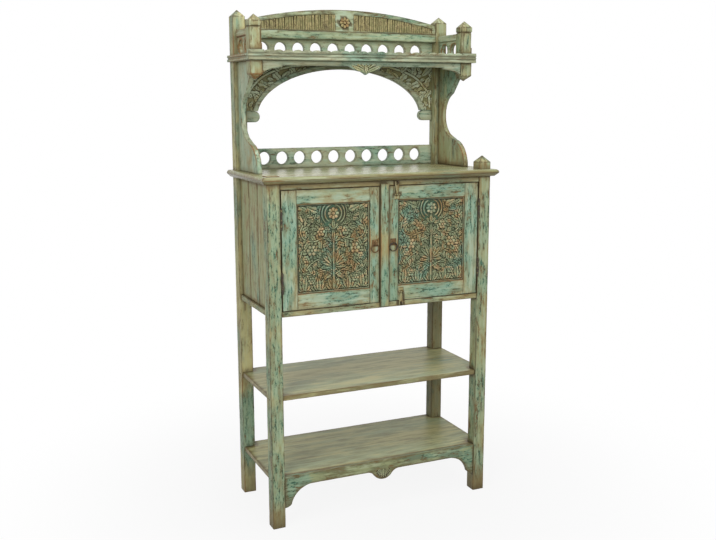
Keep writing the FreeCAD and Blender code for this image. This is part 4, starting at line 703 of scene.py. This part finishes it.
def door_carving():
    """A stem that rises to a rosette, with branches, leaves and flowers alike on both sides."""
    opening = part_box("left_door_meeting_stile")[0].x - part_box("left_door_hinge_stile")[1].x
    half = opening / 2 / MM - PANEL_GAP
    height = (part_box("left_door_top_rail")[0].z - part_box("left_door_bottom_rail")[1].z) / MM
    border = 5.5
    rosette = 284
    c = Carving(-half, half, 0, height, step=1.4, top=8.0)
    c.fan(122, 236, 80, 150, 5, 56, 22)
    c.leaf(58, 294, 16, 58, 26, 0.12, 2)
    c.leaf(140, 318, 205, 50, 22, 0.1, 2)
    c.spray([(4, 170), (34, 196), (74, 186), (112, 196), (126, 222), (118, 246)], 6, 40, 9)
    c.spray([(4, 222), (22, 246), (52, 244), (72, 262), (66, 284)], 5, 32, 6)
    c.spray([(4, 62), (40, 78), (84, 66), (120, 84), (130, 122), (120, 156)], 6, 40, 10)
    c.fan(114, 8, 94, 140, 5, 60, 22)
    c.fan(58, 6, 88, 130, 5, 52, 20)
    c.spray([(6, 100), (36, 122), (72, 116), (102, 92)], 6, 36, 5, -1)
    c.flower(84, 154, 21, 6)
    c.flower(48, 220, 17, 6)
    c.flower(106, 124, 15, 6)
    c.flower(85, 44, 15, 6)
    for length, seed in ((30, 4), (18, 7), (12, 2)):
        c.fill(length, seed)
    c.mirror()
    c.fan(0, 100, 90, 220, 9, 66, 18)
    c.fan(0, 6, 90, 120, 5, 54, 19)
    c.stem([(0, 2), (0, 60), (0, 130), (0, 200), (0, 254)], 7, 0.9)
    c.fan(0, 188, 90, 170, 5, 40, 15)
    c.lay(50 - c.polar(0, rosette)[0], np.full(c.u.shape, 0.12))
    c.ring(0, rosette, 44, 4.5, -50, 230)
    c.ring(0, rosette, 32, 5, -60, 240)
    c.fan(0, 230, 90, 110, 3, 34, 13)
    c.flower(0, rosette, 22, 8)
    outside = np.maximum(np.abs(c.u) - half, np.abs(c.v - height / 2) - height / 2)
    c.lay(outside + border, np.full(c.u.shape, 0.6))
    return c


def door_panel(word, c):
    """The carved panel of one door, in the opening of its frame, and its plain back."""
    node = word + "_door_panel"
    rail_low, rail_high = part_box(word + "_door_bottom_rail")
    low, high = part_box(node)
    foot = rail_high.z / MM
    ground = rail_low.y / MM + PANEL_SHY + c.top
    border = np.minimum(c.u.max() - np.abs(c.u), np.minimum(c.v, c.v.max() - c.v))
    spot = facing_front((low.x + high.x) / 2 / MM, ground)
    depth = high.y / MM - ground - BACK_THICK + BACK_LAP
    relief(node + "_carved", c, lambda u, v, h: spot(u, v + foot, h), depth,
           np.ones(c.u.shape, bool), 0.7 * np.exp(-border / 3), "door_carving", node, [node])
    size = Vector((2 * c.u.max(), BACK_THICK, c.v.max())) * MM
    panel_back(node, Vector(((low.x + high.x) / 2, high.y - size.y / 2, foot * MM + size.z / 2)), size)


def panel_back(node, middle, size):
    """The plain wood that shows on the back of a carved panel."""
    bm = bmesh.new()
    bmesh.ops.create_cube(bm, size=1.0)
    for v in bm.verts:
        v.co = middle + v.co * size
    mesh = bpy.data.meshes.new(node + "_back")
    bm.to_mesh(mesh)
    bm.free()
    for name, value in (("edge", FAR), ("shade", 0.08), ("touch", 0.0), ("older", 0.0)):
        keep(mesh, name, "FLOAT", np.full(len(mesh.vertices), value))
    keep(mesh, "grain", "FLOAT_VECTOR", grain_of([v.co for v in mesh.vertices], "Z", node))
    show(node + "_back", mesh, "inside_wood", SLOT_OF[node], BODY_OF[node])


DOOR_CARVING = door_carving()
door_panel("left", DOOR_CARVING)
door_panel("right", DOOR_CARVING)


# How far carved leaves go back into their board, and the hair by which they stand before its face.
SET_IN = 1.0
HAIR = 0.2


def arch_leaves():
    """Leafy stems in the two sunk corners over the arch."""
    low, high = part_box("arch_board")
    half, top = high.x / MM, high.z / MM
    corner_height = 182
    sunk_depth = 6
    proud = 0.3
    c = Carving(-half, half, top - corner_height, top, step=1.5, top=5.6)
    c.spray([(half - 8, top - 168), (half - 14, top - 120), (half - 42, top - 80), (half - 82, top - 48),
             (half - 132, top - 27), (half - 190, top - 13), (half - 250, top - 7)], 9, 54, 9)
    c.fan(half - 2, top - 6, 222, 100, 3, 60, 26)
    c.leaf(half - 112, top - 4, 215, 44, 22, 0.1, 2)
    c.leaf(half - 4, top - 100, 235, 44, 20, -0.1, 2)
    for length, seed in ((46, 9), (26, 3)):
        c.fill(length, seed)
    c.mirror()
    depth = face_depth("arch_board", c.u, c.v - HAIR)
    ground = low.y / MM + sunk_depth
    sunk = (depth > ground - 0.5) & np.isfinite(depth)
    shade = 0.25 * np.exp(-(top - c.v) / 12)
    relief("arch_board_leaves", c, facing_front(0, ground - proud), SET_IN, sunk, shade, "arch_carving",
           "arch_board", [])


def crest_reeds():
    """Upright reeds cut by hand, so no two are alike in width or lean."""
    low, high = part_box("crest_right_reeds")
    half = high.x / MM
    c = Carving(-half, half, low.z / MM, high.z / MM, step=1.1, top=6.4)
    draw = np.random.default_rng(11)
    place = -half
    while place < half:
        width = draw.uniform(7, 12)
        lean = draw.uniform(-0.05, 0.05) * (c.v - c.v.min())
        off = np.abs(c.u - place - width / 2 - lean) / (width / 2)
        waves = 0.88 + 0.12 * np.sin(c.v / draw.uniform(3, 7) + draw.uniform(0, 6))
        bulge = 0.2 + 0.8 * np.sqrt(np.clip(1 - off ** 2, 0, 1))
        c.rise = np.maximum(c.rise, c.top * waves * bulge * (off < 1))
        place += width
    nodes = ["crest_left_reeds", "crest_right_reeds"]
    there = np.isfinite(face_depth(nodes[0], c.u, c.v)) | np.isfinite(face_depth(nodes[1], c.u, c.v))
    behind = 0.1
    relief("crest_reeds_cut", c, facing_front(0, high.y / MM - behind), behind, there, 0.0, "reed_paint",
           nodes[0], nodes)


def crest_flower():
    """The flower in the middle of the crest."""
    low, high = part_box("crest_rosette")
    radius = high.x / MM
    middle = (low.z + high.z) / 2 / MM
    c = Carving(-radius, radius, middle - radius, middle + radius, step=0.6, top=(high.y - low.y) / MM)
    distance = c.polar(0, middle)[0]
    c.lay(radius - distance, np.full(c.u.shape, 0.25), 0.5)
    c.flower(0, middle, radius * 0.96, 8)
    relief("crest_flower", c, facing_front(0, high.y / MM), 0.0, distance < radius, 0.1, "flower_paint",
           "crest_rosette", ["crest_rosette"])


def apron_carving(name, node, c, moat):
    """Leaves on the face of an apron; moat is the least cut beside them that stays, as a share."""
    there = np.isfinite(face_depth(node, c.u, c.v - HAIR))
    there = there & ((c.rise > 0.1 * c.top) | (c.hollows(HOLLOW_REACH) > moat))
    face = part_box(node)[0].y / MM - HAIR
    relief(name, c, facing_front(0, face), SET_IN, there, 0.0, "leaf_paint", node, [])


def shelf_wings():
    """Two spread wings of leaves in the middle of the top shelf's apron."""
    low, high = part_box("shelf_apron")
    tip = low.z / MM
    half = 66
    c = Carving(-half, half, tip, high.z / MM, step=0.9, top=3.6)
    for angle, length in ((62, 36), (43, 50), (24, 66)):
        c.leaf(3, tip + 10, angle, length, 15, -0.03)
    c.mirror()
    c.leaf(0, tip + 5, 90, 40, 12)
    apron_carving("shelf_apron_wings", "shelf_apron", c, 0.2)


def apron_leaves():
    """Small leaves cut in the drop of the bottom apron."""
    band, drop, half = 36, 42, 48
    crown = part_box("bottom_apron")[1].z / MM - band
    c = Carving(-half, half, crown - drop, crown, step=1.0, top=2.6)
    c.fan(0, crown + 6, 270, 130, 9, 46, 9)
    apron_carving("bottom_apron_leaves", "bottom_apron", c, 0.04)


arch_leaves()
crest_reeds()
crest_flower()
shelf_wings()
apron_leaves()


def nail_tree():
    """Geometry nodes that set a nail head on each point, turned to the point's facing."""
    tree = bpy.data.node_groups.new("nail_heads", "GeometryNodeTree")
    for name, kind in (("Points", "Geometry"), ("Radius", "Float"), ("Seed", "Int"),
                       ("Finish", "Material")):
        tree.interface.new_socket(name, in_out="INPUT", socket_type="NodeSocket" + kind)
    tree.interface.new_socket("Heads", in_out="OUTPUT", socket_type="NodeSocketGeometry")

    def node(kind, **links):
        made = tree.nodes.new(kind)
        for key, source in links.items():
            tree.links.new(source, made.inputs[key.replace("_", " ")])
        return made

    given = node("NodeGroupInput").outputs
    dome = node("GeometryNodeMeshUVSphere", Radius=given["Radius"])
    dome.inputs["Segments"].default_value = 12
    dome.inputs["Rings"].default_value = 8
    flat = node("GeometryNodeTransform", Geometry=dome.outputs["Mesh"])
    flat.inputs["Scale"].default_value = (1, 1, 0.45)
    facing = node("GeometryNodeInputNamedAttribute")
    facing.data_type = "FLOAT_VECTOR"
    facing.inputs["Name"].default_value = "facing"
    turned = node("FunctionNodeAlignRotationToVector", Vector=facing.outputs["Attribute"])
    size = node("FunctionNodeRandomValue", Seed=given["Seed"])
    size.inputs["Min"].default_value = 0.8
    size.inputs["Max"].default_value = 1.2
    heads = node("GeometryNodeInstanceOnPoints", Points=given["Points"], Instance=flat.outputs["Geometry"],
                 Rotation=turned.outputs["Rotation"], Scale=size.outputs["Value"])
    real = node("GeometryNodeRealizeInstances", Geometry=heads.outputs["Instances"])
    done = node("GeometryNodeSetMaterial", Geometry=real.outputs["Geometry"], Material=given["Finish"])
    node("NodeGroupOutput", Heads=done.outputs["Geometry"])
    return tree


def nails(name, body, spots, radius, seed):
    """Nail heads of one body at spots, each a place in millimetres and the way that it faces."""
    mesh = bpy.data.meshes.new(name + "_spots")
    mesh.from_pydata([[c * MM for c in place] for place, _ in spots], [], [])
    keep(mesh, "facing", "FLOAT_VECTOR", [way for _, way in spots])
    holder = bpy.data.objects.new(name + "_spots", mesh)
    bpy.context.scene.collection.objects.link(holder)
    modifier = holder.modifiers.new("heads", "NODES")
    modifier.node_group = NAIL_TREE
    values = {"Radius": radius * MM, "Seed": seed, "Finish": FINISHES["old_iron"]}
    for socket in NAIL_TREE.interface.items_tree:
        if socket.name in values:
            modifier[socket.identifier] = values[socket.name]
    seen = holder.evaluated_get(bpy.context.evaluated_depsgraph_get())
    heads = bpy.data.meshes.new_from_object(seen)
    holder.modifiers.clear()
    bpy.data.objects.remove(holder)
    show(name, heads, "old_iron", "old_iron", body)


FRONT, BACK, LEFT, RIGHT = (0, -1, 0), (0, 1, 0), (-1, 0, 0), (1, 0, 0)
NAIL_TREE = nail_tree()


def frame_nails():
    """Nails through the posts into both shelves, and along the back planks."""
    spread = 9
    plank_nails = 12
    plank_inset = 10
    spots = []
    low, high = (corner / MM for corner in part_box("front_left_post"))
    back_low, back_high = (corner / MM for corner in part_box("rear_left_post"))
    for shelf in ("bottom_shelf", "middle_shelf"):
        board_low, board_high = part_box(shelf)
        level = (board_low.z + board_high.z) / 2 / MM
        for y in ((low.y + high.y) / 2, (back_low.y + back_high.y) / 2):
            for reach in (-spread, spread):
                spots.append(((low.x, y + reach, level), LEFT))
                spots.append(((-low.x, y + reach, level), RIGHT))
    planks_low, planks_high = (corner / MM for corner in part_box("back_planks"))
    for number in range(plank_nails):
        x = planks_low.x + (planks_high.x - planks_low.x) * (number + 0.5) / plank_nails
        for z in (planks_low.z + plank_inset, planks_high.z - plank_inset):
            spots.append(((x, planks_high.y, z), BACK))
    nails("frame_nails", "frame", spots, radius=2.2, seed=3)


def plate_nails(plate, body, seed):
    """A nail in each corner of a plate on a door."""
    inset = 3.5
    low, high = (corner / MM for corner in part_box(plate))
    across, up = np.meshgrid([low.x + inset, high.x - inset], [low.z + inset, high.z - inset])
    depth = face_depth(plate, across, up)
    places = zip(across.ravel(), depth.ravel(), up.ravel())
    spots = [((x, y, z), FRONT) for x, y, z in places if np.isfinite(y)]
    nails(plate + "_nails", body, spots, radius=1.5, seed=seed)


frame_nails()
plate_nails("left_pull_plate", "left_door", 5)
plate_nails("right_pull_plate", "right_door", 6)


# Camera at the photo's place, a pale floor and soft light.
view = bpy.data.cameras.new("camera")
view.lens = 46.12
view.sensor_width = 36.0
camera = bpy.data.objects.new("camera", view)
camera.location = (-1.4478, -3.2024, 1.5590)
camera.rotation_euler = (math.radians(79.53), math.radians(0.134), math.radians(-24.03))
bpy.context.scene.collection.objects.link(camera)
bpy.context.scene.camera = camera
bpy.context.scene.view_settings.view_transform = "Standard"


def soft_lamp(name, place, aim, size, watts):
    """A square lamp that faces a point."""
    lamp = bpy.data.lights.new(name, "AREA")
    lamp.size = size
    lamp.energy = watts
    thing = bpy.data.objects.new(name, lamp)
    thing.location = place
    thing.rotation_euler = (Vector(aim) - Vector(place)).to_track_quat("-Z", "Y").to_euler()
    bpy.context.scene.collection.objects.link(thing)


MIDDLE = (0.0, 0.0, 1.0)
soft_lamp("key", (-2.9, -2.3, 2.3), (0.0, 0.0, 1.2), 1.8, 77)
soft_lamp("fill", (0.3, -3.6, 2.2), (0.0, 0.0, 1.4), 2.0, 54)
soft_lamp("over", (0.2, -0.9, 4.4), MIDDLE, 2.6, 76)
soft_lamp("back", (1.1, 3.2, 2.2), MIDDLE, 2.0, 4)


def white_to_the_eye(tree, lit, strength=None):
    """A shader that the camera, mirrors and glass see as plain white light, and that lights as before."""
    ray = tree.nodes.new("ShaderNodeLightPath")
    seen = ray.outputs["Is Camera Ray"]
    for name in ("Is Glossy Ray", "Is Transmission Ray"):
        either = tree.nodes.new("ShaderNodeMath")
        either.operation = "MAXIMUM"
        tree.links.new(seen, either.inputs[0])
        tree.links.new(ray.outputs[name], either.inputs[1])
        seen = either.outputs[0]
    share = tree.nodes.new("ShaderNodeMath")
    share.operation = "MULTIPLY"
    tree.links.new(seen, share.inputs[0])
    if strength:
        tree.links.new(strength, share.inputs[1])
    else:
        share.inputs[1].default_value = 1.0
    mix = tree.nodes.new("ShaderNodeMixShader")
    tree.links.new(share.outputs[0], mix.inputs[0])
    tree.links.new(lit.outputs[0], mix.inputs[1])
    return mix


def studio():
    """Even light from all round, seen as plain white."""
    world = bpy.data.worlds.new("studio")
    bpy.context.scene.world = world
    world.use_nodes = True
    tree = world.node_tree
    tree.nodes.clear()
    room = tree.nodes.new("ShaderNodeBackground")
    room.inputs["Strength"].default_value = 0.34
    white = tree.nodes.new("ShaderNodeBackground")
    white.inputs["Color"].default_value = (1, 1, 1, 1)
    mix = white_to_the_eye(tree, room)
    tree.links.new(white.outputs[0], mix.inputs[2])
    end = tree.nodes.new("ShaderNodeOutputWorld")
    tree.links.new(mix.outputs[0], end.inputs["Surface"])


def pale_floor():
    """A floor that takes a faint shadow under the cabinet and is plain white farther away."""
    half = 40
    mesh = bpy.data.meshes.new("floor")
    mesh.from_pydata([(-half, -half, 0), (half, -half, 0), (half, half, 0), (-half, half, 0)], [],
                     [(0, 1, 2, 3)])
    floor = bpy.data.objects.new("floor", mesh)
    bpy.context.scene.collection.objects.link(floor)
    pale = bpy.data.materials.new("pale_floor")
    pale.use_nodes = True
    tree = pale.node_tree
    tree.nodes.clear()
    matt = tree.nodes.new("ShaderNodeBsdfDiffuse")
    matt.inputs["Color"].default_value = (0.4, 0.4, 0.4, 1)
    glow = tree.nodes.new("ShaderNodeEmission")
    spot = tree.nodes.new("ShaderNodeNewGeometry")
    away = tree.nodes.new("ShaderNodeVectorMath")
    away.operation = "LENGTH"
    tree.links.new(spot.outputs["Position"], away.inputs[0])
    fade = tree.nodes.new("ShaderNodeMapRange")
    fade.interpolation_type = "SMOOTHSTEP"
    for name, value in (("From Min", 0.3), ("From Max", 1.7), ("To Min", 0.9), ("To Max", 1.0)):
        fade.inputs[name].default_value = value
    tree.links.new(away.outputs["Value"], fade.inputs["Value"])
    mix = white_to_the_eye(tree, matt, fade.outputs["Result"])
    tree.links.new(glow.outputs[0], mix.inputs[2])
    end = tree.nodes.new("ShaderNodeOutputMaterial")
    tree.links.new(mix.outputs[0], end.inputs["Surface"])
    mesh.materials.append(pale)


studio()
pale_floor()
